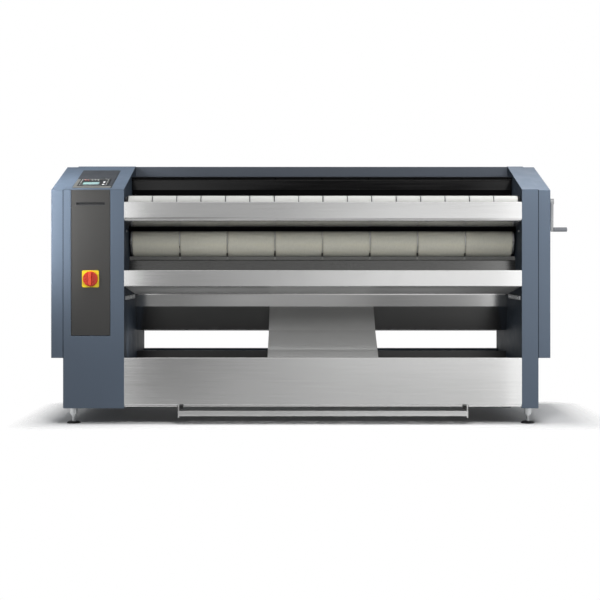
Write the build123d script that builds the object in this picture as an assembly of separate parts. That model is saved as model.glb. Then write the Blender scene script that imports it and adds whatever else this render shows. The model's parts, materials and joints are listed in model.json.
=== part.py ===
"""Flatwork ironer: sheet housings, heated cylinder, belts and rollers, aprons, trough and controls.

Millimetres, +Z up. While modelling, X is measured from the middle of the working width, Y from the
upright front plane towards the back and Z from the floor. The finished pieces are moved so that the
origin is the middle of the footprint, on the floor.
"""
import math
import os

from build123d import *

# ---- housings ----
inside_width = 2035.0        # between the inner walls of the two housings
left_column_width = 312.0
right_column_width = 85.0
cover_width = 61.0
head_room = 94.0             # from the top of the heated cylinder to the top of the housings
back_room = 95.0             # from the back of the heated cylinder to the back of the housings
slope_rise = 151.0           # from the top of the upright front to the flat top
slope_depth = 541.0          # where the slope meets the flat top
column_bottom = 82.0
cover_bottom = 340.0
cover_drop = 4.0             # the outer covers stand this much lower than the columns
sheet = 2.0
access_margin = 60.0         # rim round the opening under each outer cover
access_sill = 40.0           # from the outer covers' lower edge to the opening
overcut = 1.0                # how far a cutting body stands out of what it cuts

# ---- base frame and feet ----
rail_width = 60.0
rail_height = 40.0
rail_wall = 3.0
rail_end_gap = 18.0          # from the back and front sheets to the ends of the side rails
cross_rail_depth = 40.0
cross_rail_height = 60.0
cross_rail_inset = 40.0
rail_clearance = 1.0
foot_inset = 44.0            # foot centre from the outer edge of its column
foot_front = 75.0
foot_back_inset = 78.0
pad_radius = 34.5
pad_height = 10.0
pad_top_radius = 27.0
stem_radius = 8.0
stem_top = 112.0
sleeve_radius = 18.5
sleeve_bottom = 47.0
nut_radius = 13.0
nut_height = 8.0
hole_clearance = 0.2

# ---- bearing side plates ----
plate_thickness = 8.0
plate_margin = 12.0
wall_hole_clearance = 5.0    # round a shaft where it passes through a wall

# ---- heated cylinder ----
cylinder_y = 655.0
cylinder_z = 1010.0
cylinder_radius = 250.0
cylinder_wall = 12.0
end_gap = 10.0               # between a barrel's end and the housing wall
end_disc = 15.0
journal_radius = 60.0
journal_bore = 45.0
journal_reach = 62.0         # beyond the housing wall
cylinder_bearing_size = 200.0
cylinder_bearing_thickness = 22.0
running_clearance = 0.06

# ---- ironing belts and their rollers ----
belt_count = 8
belt_pitch = 250.0
belt_gap = 4.0
belt_thickness = 5.0
belt_clearance = 0.4         # between a belt and the surface that it runs on
front_roller_reach = 115.0   # roller centre in front of the cylinder's foremost line
front_roller_drop = 69.0     # under the cylinder's axis
front_roller_radius = 85.0
return_radius = 40.0
nip_roller_shift = 240.0     # in front of the cylinder's axis
upper_roller_drop = 25.0     # both upper return rollers under the cylinder's top line
top_roller_inset = 5.0       # in front of the cylinder's rearmost line
bottom_roller_inset = 15.0
bottom_roller_drop = 70.0    # under the cylinder's bottom line
roller_wall = 5.0
shaft_radius = 15.0
bearing_size = 70.0
bearing_thickness = 20.0
bearing_seat_share = 0.42    # seat radius, bolt place and bolt radius over the flange's size
bearing_bolt_place = 0.38
bearing_bolt_share = 0.06

# ---- feed table, belts and rollers ----
feed_drop = 32.0             # from the start of the slope to the belts' top face
feed_belt_count = 16
feed_belt_pitch = 125.0
feed_belt_gap = 4.0
feed_belt_thickness = 2.0
feed_roller_radius = 27.0
nose_roller_y = 38.0
feed_rear_lead = 30.0        # in front of the nip roller
feed_shaft_radius = 10.0
feed_bearing_size = 52.0
feed_bearing_thickness = 14.0
table_drop = 0.6             # the table lies this much under the belts' inner face
table_front_gap = 10.0       # from the nose roller to the table
table_back_gap = 13.0
table_edge = 20.0

# ---- top beam, hood and rear panel ----
beam_drop = 58.0             # from the housings' top to the beam's lower edge
top_drop = 2.0               # beam and hood lie this much under the columns' tops
beam_depth = 60.0
hood_lip = 42.0
hood_vent_count = 12
panel_drop = 22.0            # from the plate under the belts to the rear panel's lower edge
vent_count = 14
vent_length = 130.0
vent_height = 8.0
vent_pitch = 22.0

# ---- finger guard and its hood ----
guard_hood_lead = 13.0       # in front of the guard
guard_hood_fall = 12.0
guard_hood_lip = 8.0
guard_lead = 61.0            # in front of the nip roller
guard_axis_drop = 26.0       # under the beam's lower edge
finger_room = 45.0           # between the feed belts and the guard
guard_thickness = 6.0
guard_rod_radius = 5.0
guard_end_gap = 4.0

# ---- upper apron ----
apron_drop = 32.0            # from the feed belts' top face to the apron's top
apron_hem = 6.5
apron_height = 99.0
apron_bend = 24.0
apron_back_gap = 78.0        # from the apron's rear edge to the front roller's axis
apron_fall = 25.0
hem = 14.0
corner = 3.0                 # outside radius of an ordinary sheet bend
seat_gap = 0.3               # between sheets that meet at a slant
inner_corner = 0.8           # drawn radius where a sheet bends away from its drawn face

# ---- exit trough, slide and stripper ----
lip_drop = 51.0              # from the slide's top to the middle panel's top
lip_height = 82.0
trough_depth = 517.0
floor_fall = 50.0
slide_drop = 16.0            # under the front roller
slide_lead = 28.0            # in front of the front roller's axis
slide_step = 24.0            # depth of the slide's top ledge, and of its slant
slide_slant = 80.0
bar_size = 18.0
finger_count = belt_count - 1
finger_width = 9.0
finger_thickness = 1.5
finger_tip_gap = 1.2
finger_tip_angle = 223.0
bracket_front = 45.0
bracket_back = 440.0
bracket_drop = 11.0          # under the trough's rear edge
bracket_height = 20.0
bracket_thickness = 8.0
bolt_radius = 6.5
bolt_head = 5.0
bolts_per_bracket = 4
apron_bolt_y = 100.0
apron_bolt_drop = 23.0       # under the apron's rear edge

# ---- plate under the belts, chute ----
cowl_rise = 33.0             # above the trough's rear edge
cowl_first_drop = 6.0        # under the trough's rear edge
cowl_bend = (11.0, 63.0)     # back and down to the next crease
cowl_slant = (54.0, 131.0)   # back and down along the slanted face
chute_width = 568.0
chute_top_drop = 4.0         # under the plate's second crease
chute_crease_y = 334.0
chute_crease_rise = 125.0    # above the lower front panel
chute_foot_y = 12.0
chute_gap = 0.8
chute_edge = 14.0

# ---- lower front panel, tray and sill ----
front_panel_top = 341.0
front_panel_bottom = 101.0
panel_flange = 25.0
joggle = 8.0
joggle_bottom = 90.0
tray_sink = 43.0             # from the lower front panel's top to the tray's underside
tray_depth = 600.0
tray_rim = 12.0
sill_drop = 7.0              # under the lower front panel's top
sill_bottom = 100.0
sill_flange = 40.0

# ---- foot bar ----
bar_length = 1482.0
foot_bar_depth = 30.0
foot_bar_height = 26.0
foot_bar_bottom = 44.0
foot_bar_wall = 2.0
pedal_axis_y = -2.0
pedal_axis_z = 90.0
pedal_pin_radius = 4.0
pedal_arm = 6.0
pedal_arm_radius = 8.0
pedal_arm_bottom = 36.0
pedal_block = 20.0
pedal_block_height = 16.0
pedal_head_radius = 6.4

# ---- service door and main switch ----
door_margin = 42.0           # from the column's outer edge
door_width = 197.5
door_bottom = 455.0
door_top_gap = 3.0           # under the start of the slope
door_gap = 2.0
door_return = 14.0
door_axis_x = 8.0            # hinge axis from the door's edge
door_axis_y = 7.0
hinge_rise = 75.0            # lower hinge above the door's lower edge
hinge_drop = 90.0            # upper hinge under the door's top
hinge_pin_radius = 2.0
hinge_barrel_radius = 4.5
hinge_barrel_length = 10.0
hinge_ear = 4.0
hinge_play = 0.3
neck_side = 14.0             # the hinge's bent arm: sideways, first rise, depth, reach back and half width
neck_rise = 5.0
neck_depth = 18.0
neck_reach = 20.0
neck_half = 3.0
slot_width = 150.0
slot_height = 16.0
slot_drop = 71.0             # under the door's top
switch_rise = 290.0          # above the door's lower edge
switch_size = 87.0
switch_corner = 8.0
switch_thickness = 4.0
switch_neck_radius = 15.0
switch_box_size = 60.0
switch_box_front = 16.0
switch_box_back = 60.0
knob_radius = 38.0
knob_thickness = 10.0
knob_gap = 0.4
knob_shaft_radius = 6.0
grip_width = 15.0
grip_height = 16.0
grip_round = 6.75

# ---- control plate on the slope ----
control_start = 28.0         # along the slope from the front edge
control_end = 450.0
control_thickness = 2.0
bezel_width = 158.0
bezel_start = 62.0
bezel_end = 226.0
bezel_thickness = 3.0
display_width = 83.0
display_height = 56.0
display_distance = 120.0     # display centre along the slope
display_shift = -13.0        # display centre from the bezel's middle
display_recess = 1.8
display_thickness = 1.6
large_key = (18.0, 32.0)
large_key_shift = 53.5
large_key_distances = (87.0, 141.0)
small_key = (10.0, 20.0)
small_key_distance = 187.0
small_key_shifts = (-50.5, -36.8, -15.3, 0.4, 16.2)
key_travel = 1.0
key_rise = 1.5
key_floor = 1.2              # room under a key at rest
key_clearance = 0.3
key_corner = 2.0

# ---- heater ----
carrier_radius = 30.0
carrier_wall = 4.0
carrier_left = 60.0          # beyond the housing wall
carrier_right = 84.0
bush_length = 20.0
bush_start = 20.0            # beyond the housing wall
rod_count = 6
rod_radius = 8.0
rod_circle = 120.0
spider_count = 3
spider_thickness = 6.0
spider_radius = 140.0
rod_end_gap = 60.0
strap_width = 60.0
strap_thickness = 6.0
strap_drop = 160.0

# ---- drive ----
pulley_gap = 4.0
pulley_width = 16.0
cylinder_pulley_radius = 150.0
motor_pulley_radius = 40.0
motor_drop = 490.0           # from the cylinder's axis to the motor's
drive_belt_width = 14.0
drive_belt_thickness = 8.0
gearbox_gap = 62.0           # from the bearing plate, bridged by the four studs
gearbox_size = (100.0, 200.0, 160.0)
stud_radius = 8.0
stud_y = 85.0
stud_z = 60.0
motor_radius = 70.0
motor_length = 130.0
motor_fin_count = 18
motor_fin = (8.0, 2.0, 104.0)
output_radius = 14.0

# ---- fan ----
fan_rise = 90.0              # above the cylinder's axis
duct_radius = 80.0
duct_wall = 2.0
duct_inside = 150.0          # length inside the housing
spigot_length = 60.0
duct_flange_radius = 100.0
duct_flange = 3.0
fan_motor_radius = 30.0
fan_motor_length = 65.0
fan_motor_inset = 65.0       # from the motor's rear to the housing's back
fan_arm_count = 3
fan_arm = (24.0, 4.0)
fan_shaft_radius = 4.0
impeller_gap = 4.0
impeller_length = 28.0
impeller_hub_radius = 22.0
blade_count = 6
blade_tip_gap = 3.0
blade_thickness = 3.0
blade_pitch = 35.0

# ---- electrical panel ----
gear_plate_y = 200.0
gear_plate_thickness = 3.0
gear_plate_rise = 25.0       # above the door's lower edge
gear_plate_height = 670.0
gear_plate_width = 262.0
gear_flange = 40.0
breaker_count = 6
breaker_size = (18.0, 70.0, 80.0)
contactor_count = 4
contactor_size = (45.0, 85.0, 75.0)
inverter_size = (140.0, 100.0, 200.0)
terminal_count = 14
terminal_size = (12.0, 45.0, 40.0)
gear_rows = {"breakers": 580.0, "contactors": 450.0, "inverter": 220.0, "terminals": 60.0}
gear_gap = 1.0
gear_lever_share = 0.1       # lever's rise over its device's depth

# ---- cable gland ----
gland_drop = 60.0            # from the column's middle
gland_z = 250.0
gland_radius = 16.0
gland_bore = 8.0
gland_inside = 12.0
gland_outside = 28.0
gland_nut_radius = 21.0
gland_nut = 8.0

# ---- hand crank ----
crank_lead = 55.0            # in front of the rear feed roller
crank_drop = 18.0            # under the feed belts' top face
crank_shaft_radius = 10.0
crank_reach = 72.0           # from the cover to the hub's outer face
crank_hub_radius = 16.0
crank_hub_length = 18.0
crank_arm_length = 149.0
crank_arm_thickness = 12.0
crank_tip_radius = 12.0
grip_gap = 1.0
grip_radius = 12.0
grip_length = 73.0
grip_pin_radius = 5.0
grip_end = 6.0
crank_bush_radius = 16.0
crank_bush_flange_radius = 22.0
crank_bush_flange = 3.0

# ---- places that follow from the sizes ----
height = cylinder_z + cylinder_radius + head_room
depth = cylinder_y + cylinder_radius + back_room
front_height = height - slope_rise
access_bottom = cover_bottom + access_sill
foot_back = depth - foot_back_inset
left_wall = -inside_width / 2
right_wall = inside_width / 2
left_edge = left_wall - left_column_width
right_edge = right_wall + right_column_width
left_outer = left_edge - cover_width
right_outer = right_edge + cover_width
top_z = height - top_drop
slope_angle = math.atan2(height - front_height, slope_depth)
left_plate = left_wall - sheet - plate_thickness
right_plate = right_wall + sheet + plate_thickness
barrel_end = inside_width / 2 - end_gap
rail_bottom = column_bottom + sheet
rail_top = rail_bottom + rail_height
plate_bottom = rail_top + cross_rail_height
belt_width = belt_pitch - belt_gap
front_roller_y = cylinder_y - cylinder_radius - front_roller_reach
front_roller_z = cylinder_z - front_roller_drop
nip_roller_y = cylinder_y - nip_roller_shift
upper_roller_z = cylinder_z + cylinder_radius - upper_roller_drop
top_roller_y = cylinder_y + cylinder_radius - top_roller_inset
bottom_roller_y = cylinder_y + cylinder_radius - bottom_roller_inset
bottom_roller_z = cylinder_z - cylinder_radius - bottom_roller_drop
feed_top = front_height - feed_drop
feed_rear_y = nip_roller_y - feed_rear_lead
feed_roller_z = feed_top - feed_belt_thickness - belt_clearance - feed_roller_radius
table_front = nose_roller_y + feed_roller_radius + table_front_gap
table_back = feed_rear_y - feed_roller_radius - table_back_gap
beam_bottom = height - beam_drop
guard_y = nip_roller_y - guard_lead
guard_hood_front = guard_y - guard_hood_lead
guard_hood_z = beam_bottom - guard_hood_fall
guard_axis_z = beam_bottom - guard_axis_drop
guard_bottom = feed_top + finger_room
apron_top = feed_top - apron_drop
apron_bottom = apron_top - apron_height
apron_depth = front_roller_y - apron_back_gap
apron_rear_z = apron_bottom - apron_fall
apron_bolt_z = apron_rear_z - apron_bolt_drop
slide_top = front_roller_z - front_roller_radius - slide_drop
slide_rear = front_roller_y - slide_lead
slide_break = slide_rear - slide_step
slide_foot = slide_break - slide_step
slide_foot_top = slide_top - slide_slant
lip_top = slide_top - lip_drop
lip_bottom = lip_top - lip_height
trough_rear_z = lip_bottom - floor_fall
bracket_z = trough_rear_z - bracket_drop
cowl_top = trough_rear_z + cowl_rise
cowl_first_z = trough_rear_z - cowl_first_drop
cowl_bend_y = trough_depth + cowl_bend[0]
cowl_bend_z = cowl_first_z - cowl_bend[1]
cowl_low_y = cowl_bend_y + cowl_slant[0]
cowl_low_z = cowl_bend_z - cowl_slant[1]
panel_bottom = cowl_low_z - panel_drop
chute_top_z = cowl_bend_z - chute_top_drop
chute_crease_z = front_panel_top + chute_crease_rise
tray_bottom = front_panel_top - tray_sink
tray_rear_top = front_panel_top - sheet
sill_top = front_panel_top - sill_drop
door_left = left_edge + door_margin
door_top = front_height - door_top_gap
door_middle = door_left + door_width / 2
hinge_heights = (door_bottom + hinge_rise, door_top - hinge_drop)
slot_z = door_top - slot_drop
switch_z = door_bottom + switch_rise
left_middle = (left_wall + left_edge) / 2
motor_z = cylinder_z - motor_drop
fan_z = cylinder_z + fan_rise
fan_motor_back = depth - fan_motor_inset
fan_motor_front = fan_motor_back - fan_motor_length
duct_front = depth - duct_inside
gear_plate_bottom = door_bottom + gear_plate_rise
gear_plate_top = gear_plate_bottom + gear_plate_height
crank_y = feed_rear_y - crank_lead
crank_z = feed_top - crank_drop
pulley_start = left_plate - cylinder_bearing_thickness - pulley_gap
floor_slope = (lip_bottom - trough_rear_z) / trough_depth

ironing_rollers = {
    "front_belt_roller": (front_roller_y, front_roller_z, front_roller_radius),
    "top_front_roller": (nip_roller_y, upper_roller_z, return_radius),
    "top_rear_roller": (top_roller_y, upper_roller_z, return_radius),
    "bottom_rear_roller": (bottom_roller_y, bottom_roller_z, return_radius),
}
feed_rollers = {
    "feed_nose_roller": (nose_roller_y, feed_roller_z, feed_roller_radius),
    "feed_rear_roller": (feed_rear_y, feed_roller_z, feed_roller_radius),
}
slope_frame = Plane(origin=(door_middle, 0, front_height), x_dir=(1, 0, 0),
                    z_dir=(0, -math.sin(slope_angle), math.cos(slope_angle)))

nodes = {}


# ---- helpers ----
def block(x, y, z):
    """A block between a low and a high limit on each axis."""
    limits = [sorted(pair) for pair in (x, y, z)]
    size = [high - low for low, high in limits]
    middle = [(high + low) / 2 for low, high in limits]
    return Pos(*middle) * Box(*size)


def rod_x(radius, x, y, z):
    """A round bar along X between the two values of x."""
    return Pos(sum(x) / 2, y, z) * Rot(0, 90, 0) * Cylinder(radius, abs(x[1] - x[0]))


def rod_y(radius, x, y, z):
    """A round bar along Y between the two values of y."""
    return Pos(x, sum(y) / 2, z) * Rot(90, 0, 0) * Cylinder(radius, abs(y[1] - y[0]))


def rod_z(radius, x, y, z):
    """A round bar along Z between the two values of z."""
    return Pos(x, y, sum(z) / 2) * Cylinder(radius, abs(z[1] - z[0]))


def along_x(face, x):
    """A side outline, drawn in (y, z), as a solid between the two values of x."""
    low, high = sorted(x)
    return extrude(Plane.YZ.offset(low) * face, high - low, dir=(1, 0, 0))


def tube_x(outer, inner, x, y, z):
    """A round tube along X."""
    return rod_x(outer, x, y, z) - rod_x(inner, x, y, z)


def rounded(points, radii):
    """Line through the points with an arc at each inner one."""
    return FilletPolyline(*points, radius=list(radii)) if len(points) > 2 else Polyline(*points)


def bent_sheet(points, radii, thickness):
    """Side outline of a folded sheet along the line through the points.

    The sheet lies on the left of the line as it is followed, or on its right where thickness is negative.
    """
    headings = [math.atan2(end[1] - start[1], end[0] - start[0]) for start, end in zip(points, points[1:])]
    shifted, other_radii = [], []
    for k, (y, z) in enumerate(points):
        before, after = headings[max(k - 1, 0)], headings[min(k, len(headings) - 1)]
        middle = before + math.remainder(after - before, 2 * math.pi) / 2
        reach = thickness / math.cos(middle - before)
        shifted.append((y - reach * math.sin(middle), z + reach * math.cos(middle)))
        if 0 < k < len(points) - 1:
            inward = math.copysign(1, math.remainder(after - before, 2 * math.pi) * thickness)
            other_radii.append(radii[k - 1] - inward * abs(thickness))
    ends = [Line(points[0], shifted[0]), Line(points[-1], shifted[-1])]
    return make_face([edge for line in (rounded(points, radii), rounded(shifted, other_radii), *ends)
                      for edge in line.edges()])


def group(*pieces):
    """Separate solids that share one node."""
    return Compound([solid for piece in pieces for solid in piece.solids()])


def inner_span(gap=0.0):
    """The two x limits between the housings' inner walls."""
    return (left_wall + gap, right_wall - gap)


# ---- housings ----
def housing_face(bottom, drop=0.0, inset=0.0):
    """Side outline of a housing: upright front, slope, flat top and upright back."""
    face = make_face(Polyline((0, bottom), (0, front_height - drop), (slope_depth, height - drop),
                              (depth, height - drop), (depth, bottom), close=True))
    return offset(face, amount=-inset, kind=Kind.INTERSECTION) if inset else face


def shaft_holes(x):
    """Round holes for every shaft that passes through a housing wall and its bearing plate."""
    holes = [rod_x(journal_radius + wall_hole_clearance, x, cylinder_y, cylinder_z)]
    for y, z, _ in ironing_rollers.values():
        holes.append(rod_x(shaft_radius + wall_hole_clearance, x, y, z))
    for y, z, _ in feed_rollers.values():
        holes.append(rod_x(feed_shaft_radius + wall_hole_clearance, x, y, z))
    holes.append(rod_x(guard_rod_radius + running_clearance, x, guard_y, guard_axis_z))
    return holes


def cross_rail_spans():
    """The two y spans of the front and the back cross rail."""
    front = (cross_rail_inset, cross_rail_inset + cross_rail_depth)
    back = (depth - cross_rail_inset - cross_rail_depth, depth - cross_rail_inset)
    return front, back


def column_shell(wall, edge):
    """Closed sheet box with shaft holes in its inner wall and an access opening in its outer wall."""
    outward = math.copysign(1, edge - wall)
    inside = (wall + outward * sheet, edge - outward * sheet)
    shell = along_x(housing_face(column_bottom), (wall, edge))
    shell -= along_x(housing_face(column_bottom, inset=sheet), inside)
    shell -= block((edge - outward * 2 * sheet, edge + outward * sheet),
                   (access_margin, depth - access_margin), (access_bottom, front_height - access_margin))
    wall_span = (wall - outward * sheet, wall + outward * 2 * sheet)
    for hole in shaft_holes(wall_span):
        shell -= hole
    for low, high in cross_rail_spans():
        shell -= block(wall_span, (low - rail_clearance, high + rail_clearance),
                       (rail_top - rail_clearance, plate_bottom + rail_clearance))
    foot_x = edge - outward * foot_inset
    for foot_y in (foot_front, foot_back):
        shell -= rod_z(stem_radius + hole_clearance, foot_x, foot_y, (0, rail_top))
    return shell


def outer_cover(edge, outer):
    """Shallow sheet tray that closes the outer side of a column."""
    outward = math.copysign(1, outer - edge)
    cover = along_x(housing_face(cover_bottom, cover_drop), (edge, outer))
    inside = housing_face(cover_bottom, cover_drop, inset=sheet)
    return cover - along_x(inside, (edge, outer - outward * sheet))


def make_housings():
    left = column_shell(left_wall, left_edge)
    left -= block((door_left - door_gap, door_left + door_width + door_gap), (-sheet, 2 * sheet),
                  (door_bottom - door_gap, front_height - sheet))
    left -= rod_y(duct_radius, left_middle, (depth - 2 * sheet, depth + sheet), fan_z)
    left -= rod_y(gland_radius, left_middle - gland_drop, (depth - 2 * sheet, depth + sheet), gland_z)
    right = column_shell(right_wall, right_edge)
    right -= rod_x(crank_shaft_radius + wall_hole_clearance, (right_wall - sheet, right_edge + sheet),
                   crank_y, crank_z)
    right_cover = outer_cover(right_edge, right_outer)
    right_cover -= rod_x(crank_bush_radius, (right_outer - 2 * sheet, right_outer + sheet), crank_y, crank_z)
    nodes["left_column_shell"] = left
    nodes["right_column_shell"] = right
    nodes["left_outer_cover"] = outer_cover(left_edge, left_outer)
    nodes["right_outer_cover"] = right_cover


def make_side_plates():
    """Steel plates behind the inner walls, which stand on the cross rails and hold every bearing."""
    for name, wall, outward in (("left_side_plate", left_wall, -1), ("right_side_plate", right_wall, 1)):
        start = wall + outward * sheet
        span = (start, start + outward * plate_thickness)
        plate = along_x(housing_face(plate_bottom - plate_margin, inset=plate_margin), span)
        for hole in shaft_holes((start - outward * sheet, start + outward * (plate_thickness + sheet))):
            plate -= hole
        if outward > 0:
            plate -= rod_x(crank_shaft_radius + wall_hole_clearance,
                           (start - sheet, start + 2 * plate_thickness), crank_y, crank_z)
        nodes[name] = plate


# ---- base frame and feet ----
def hollow_rail(x, y, z, axis):
    """Rectangular tube along the named axis, open at its ends."""
    inner = {"x": x, "y": y, "z": z}
    for other in inner:
        if other != axis:
            low, high = sorted(inner[other])
            inner[other] = (low + rail_wall, high - rail_wall)
    low, high = sorted(inner[axis])
    inner[axis] = (low - overcut, high + overcut)
    return block(x, y, z) - block(inner["x"], inner["y"], inner["z"])


def make_base():
    rails = []
    feet = []
    foot_xs = (left_edge + foot_inset, right_edge - foot_inset)
    for foot_x in foot_xs:
        rail = hollow_rail((foot_x - rail_width / 2, foot_x + rail_width / 2),
                           (rail_end_gap, depth - rail_end_gap), (rail_bottom, rail_top), "y")
        for foot_y in (foot_front, foot_back):
            rail -= rod_z(stem_radius + hole_clearance, foot_x, foot_y,
                          (column_bottom, rail_bottom + 2 * rail_wall))
            feet.append(levelling_foot(foot_x, foot_y))
        rails.append(rail)
    for span in cross_rail_spans():
        rails.append(hollow_rail((foot_xs[0] - rail_width / 2, foot_xs[1] + rail_width / 2), span,
                                 (rail_top, plate_bottom), "x"))
    nodes["base_frame"] = group(*rails)
    nodes["levelling_feet"] = group(*[piece for foot in feet for piece in foot])


def levelling_foot(x, y):
    """Round pad, threaded stem, its sleeve under the column and two nuts."""
    pad = Pos(x, y, pad_height / 4) * Cylinder(pad_radius, pad_height / 2)
    pad += Pos(x, y, pad_height * 3 / 4) * Cone(pad_radius, pad_top_radius, pad_height / 2)
    stem = rod_z(stem_radius, x, y, (pad_height, stem_top))
    bore = rod_z(stem_radius + hole_clearance, x, y, (pad_height, stem_top))
    sleeve = rod_z(sleeve_radius, x, y, (sleeve_bottom, column_bottom)) - bore
    nut = extrude(RegularPolygon(nut_radius, 6), nut_height)
    lock_nut = Pos(x, y, sleeve_bottom - nut_height) * nut - bore
    frame_nut = Pos(x, y, rail_bottom + rail_wall) * nut - bore
    return pad, stem, sleeve, lock_nut, frame_nut


# ---- cylinder, rollers and belts ----
def make_cylinder():
    span = (-barrel_end, barrel_end)
    nodes["heated_cylinder"] = tube_x(cylinder_radius, cylinder_radius - cylinder_wall, span,
                                      cylinder_y, cylinder_z)
    ends = []
    for side in (-1, 1):
        inner = side * (barrel_end - end_disc)
        outer = side * (inside_width / 2 + journal_reach)
        end = rod_x(cylinder_radius - cylinder_wall, (inner, side * barrel_end), cylinder_y, cylinder_z)
        end += rod_x(journal_radius, (inner, outer), cylinder_y, cylinder_z)
        bore = (side * (barrel_end - 2 * end_disc), outer + side * overcut)
        ends.append(end - rod_x(journal_bore, bore, cylinder_y, cylinder_z))
    middle = pulley_start - pulley_width / 2
    groove = Pos(middle, cylinder_y, cylinder_z) * Rot(0, 90, 0)
    pulley = rod_x(cylinder_pulley_radius, (pulley_start, pulley_start - pulley_width),
                   cylinder_y, cylinder_z)
    hole = Pos((journal_radius + cylinder_pulley_radius) / 2, 0, 0) \
        * Cylinder(journal_bore / 2, 2 * pulley_width)
    for turn in range(rod_count):
        pulley -= groove * Rot(0, 0, turn * 360 / rod_count) * hole
    pulley -= rod_x(journal_radius, (pulley_start + overcut, pulley_start - pulley_width - overcut),
                    cylinder_y, cylinder_z)
    nodes["cylinder_ends"] = group(*ends, pulley)


def make_rollers():
    for name, (y, z, radius) in ironing_rollers.items():
        nodes[name] = roller(y, z, radius, shaft_radius, bearing_thickness)
    for name, (y, z, radius) in feed_rollers.items():
        nodes[name] = roller(y, z, radius, feed_shaft_radius, feed_bearing_thickness)


def roller(y, z, radius, shaft, bearing):
    """Tube with closed ends on a shaft that runs out through both bearings."""
    reach = inside_width / 2 + sheet + plate_thickness + bearing + end_gap / 2
    barrel = rod_x(radius, (-barrel_end, barrel_end), y, z)
    barrel -= tube_x(radius - roller_wall, shaft, (end_disc - barrel_end, barrel_end - end_disc), y, z)
    return barrel + tube_x(shaft, shaft / 2, (-reach, reach), y, z)


def bearing_unit(outward, y, z, size, thickness, bore):
    """Square flanged bearing with a raised round seat on the outer face of a side plate."""
    start = outward * (inside_width / 2 + sheet + plate_thickness)
    flange_end = start + outward * thickness / 2
    unit = block((start, flange_end), (y - size / 2, y + size / 2), (z - size / 2, z + size / 2))
    unit += rod_x(size * bearing_seat_share, (flange_end, start + outward * thickness), y, z)
    bolt = (flange_end, flange_end + outward * thickness / 4)
    for dy in (-1, 1):
        for dz in (-1, 1):
            unit += rod_x(size * bearing_bolt_share, bolt, y + dy * size * bearing_bolt_place,
                          z + dz * size * bearing_bolt_place)
    hole = (start - outward * overcut, start + outward * (thickness + overcut))
    return unit - rod_x(bore + running_clearance, hole, y, z)


def make_bearings():
    small = []
    for outward in (-1, 1):
        for y, z, _ in ironing_rollers.values():
            small.append(bearing_unit(outward, y, z, bearing_size, bearing_thickness, shaft_radius))
        for y, z, _ in feed_rollers.values():
            small.append(bearing_unit(outward, y, z, feed_bearing_size, feed_bearing_thickness,
                                      feed_shaft_radius))
    start = inside_width / 2 + sheet + plate_thickness
    seat = rod_x(crank_hub_radius, (start, start + bearing_thickness), crank_y, crank_z)
    small.append(seat - rod_x(crank_shaft_radius + running_clearance,
                              (start - overcut, start + 2 * bearing_thickness), crank_y, crank_z))
    bush = rod_x(crank_bush_radius, (right_outer - sheet, right_outer), crank_y, crank_z)
    bush += rod_x(crank_bush_flange_radius, (right_outer, right_outer + crank_bush_flange), crank_y, crank_z)
    bore = (right_outer - 2 * sheet, right_outer + 2 * crank_bush_flange)
    small.append(bush - rod_x(crank_shaft_radius + running_clearance, bore, crank_y, crank_z))
    large = [bearing_unit(outward, cylinder_y, cylinder_z, cylinder_bearing_size, cylinder_bearing_thickness,
                          journal_radius) for outward in (-1, 1)]
    nodes["shaft_bearings"] = group(*small, *large)


def loop_face(wheels, grow):
    """Region inside a closed belt line round wheels of (y, z, radius, turn).

    turn is -1 for a wheel inside the loop and 1 for one that the loop passes on its outside.
    """
    arrivals, departures = [], []
    for first, second in zip(wheels, wheels[1:] + wheels[:1]):
        radius_1 = first[2] - first[3] * grow
        radius_2 = second[2] - second[3] * grow
        dy, dz = second[0] - first[0], second[1] - first[1]
        lean = math.asin((first[3] * radius_1 - second[3] * radius_2) / math.hypot(dy, dz))
        heading = math.atan2(dz, dy) + lean
        normal = (math.sin(heading), -math.cos(heading))
        departures.append(tuple(first[k] + first[3] * radius_1 * normal[k] for k in (0, 1)))
        arrivals.append(tuple(second[k] + second[3] * radius_2 * normal[k] for k in (0, 1)))
    arrivals = arrivals[-1:] + arrivals[:-1]
    edges = []
    for (y, z, radius, turn), start, end in zip(wheels, arrivals, departures):
        radius -= turn * grow
        start_angle = math.atan2(start[1] - z, start[0] - y)
        sweep = (turn * (math.atan2(end[1] - z, end[0] - y) - start_angle)) % (2 * math.pi)
        middle = start_angle + turn * sweep / 2
        crown = (y + radius * math.cos(middle), z + radius * math.sin(middle))
        edges.append(ThreePointArc(start, crown, end))
    for index, start in enumerate(departures):
        edges.append(Line(start, arrivals[(index + 1) % len(arrivals)]))
    return make_face(Wire.combine([edge for curve in edges for edge in curve.edges()])[0])


def belt_set(wheels, thickness, count, pitch, width):
    """Equal endless belts side by side over the same wheels."""
    strip = loop_face(wheels, thickness) - loop_face(wheels, 0)
    first = -(count - 1) * pitch / 2
    return group(*[along_x(strip, (first + k * pitch - width / 2, first + k * pitch + width / 2))
                   for k in range(count)])


def make_belts():
    around = {name: (y, z, radius + belt_clearance, -1) for name, (y, z, radius) in ironing_rollers.items()}
    outside = (cylinder_y, cylinder_z, cylinder_radius + belt_clearance + belt_thickness, 1)
    wheels = [around["top_front_roller"], around["top_rear_roller"], around["bottom_rear_roller"],
              around["front_belt_roller"], outside]
    nodes["ironing_belts"] = belt_set(wheels, belt_thickness, belt_count, belt_pitch, belt_width)
    feed = [(y, z, radius + belt_clearance, -1) for y, z, radius in feed_rollers.values()]
    nodes["feed_belts"] = belt_set(feed, feed_belt_thickness, feed_belt_count, feed_belt_pitch,
                                   feed_belt_pitch - feed_belt_gap)


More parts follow.
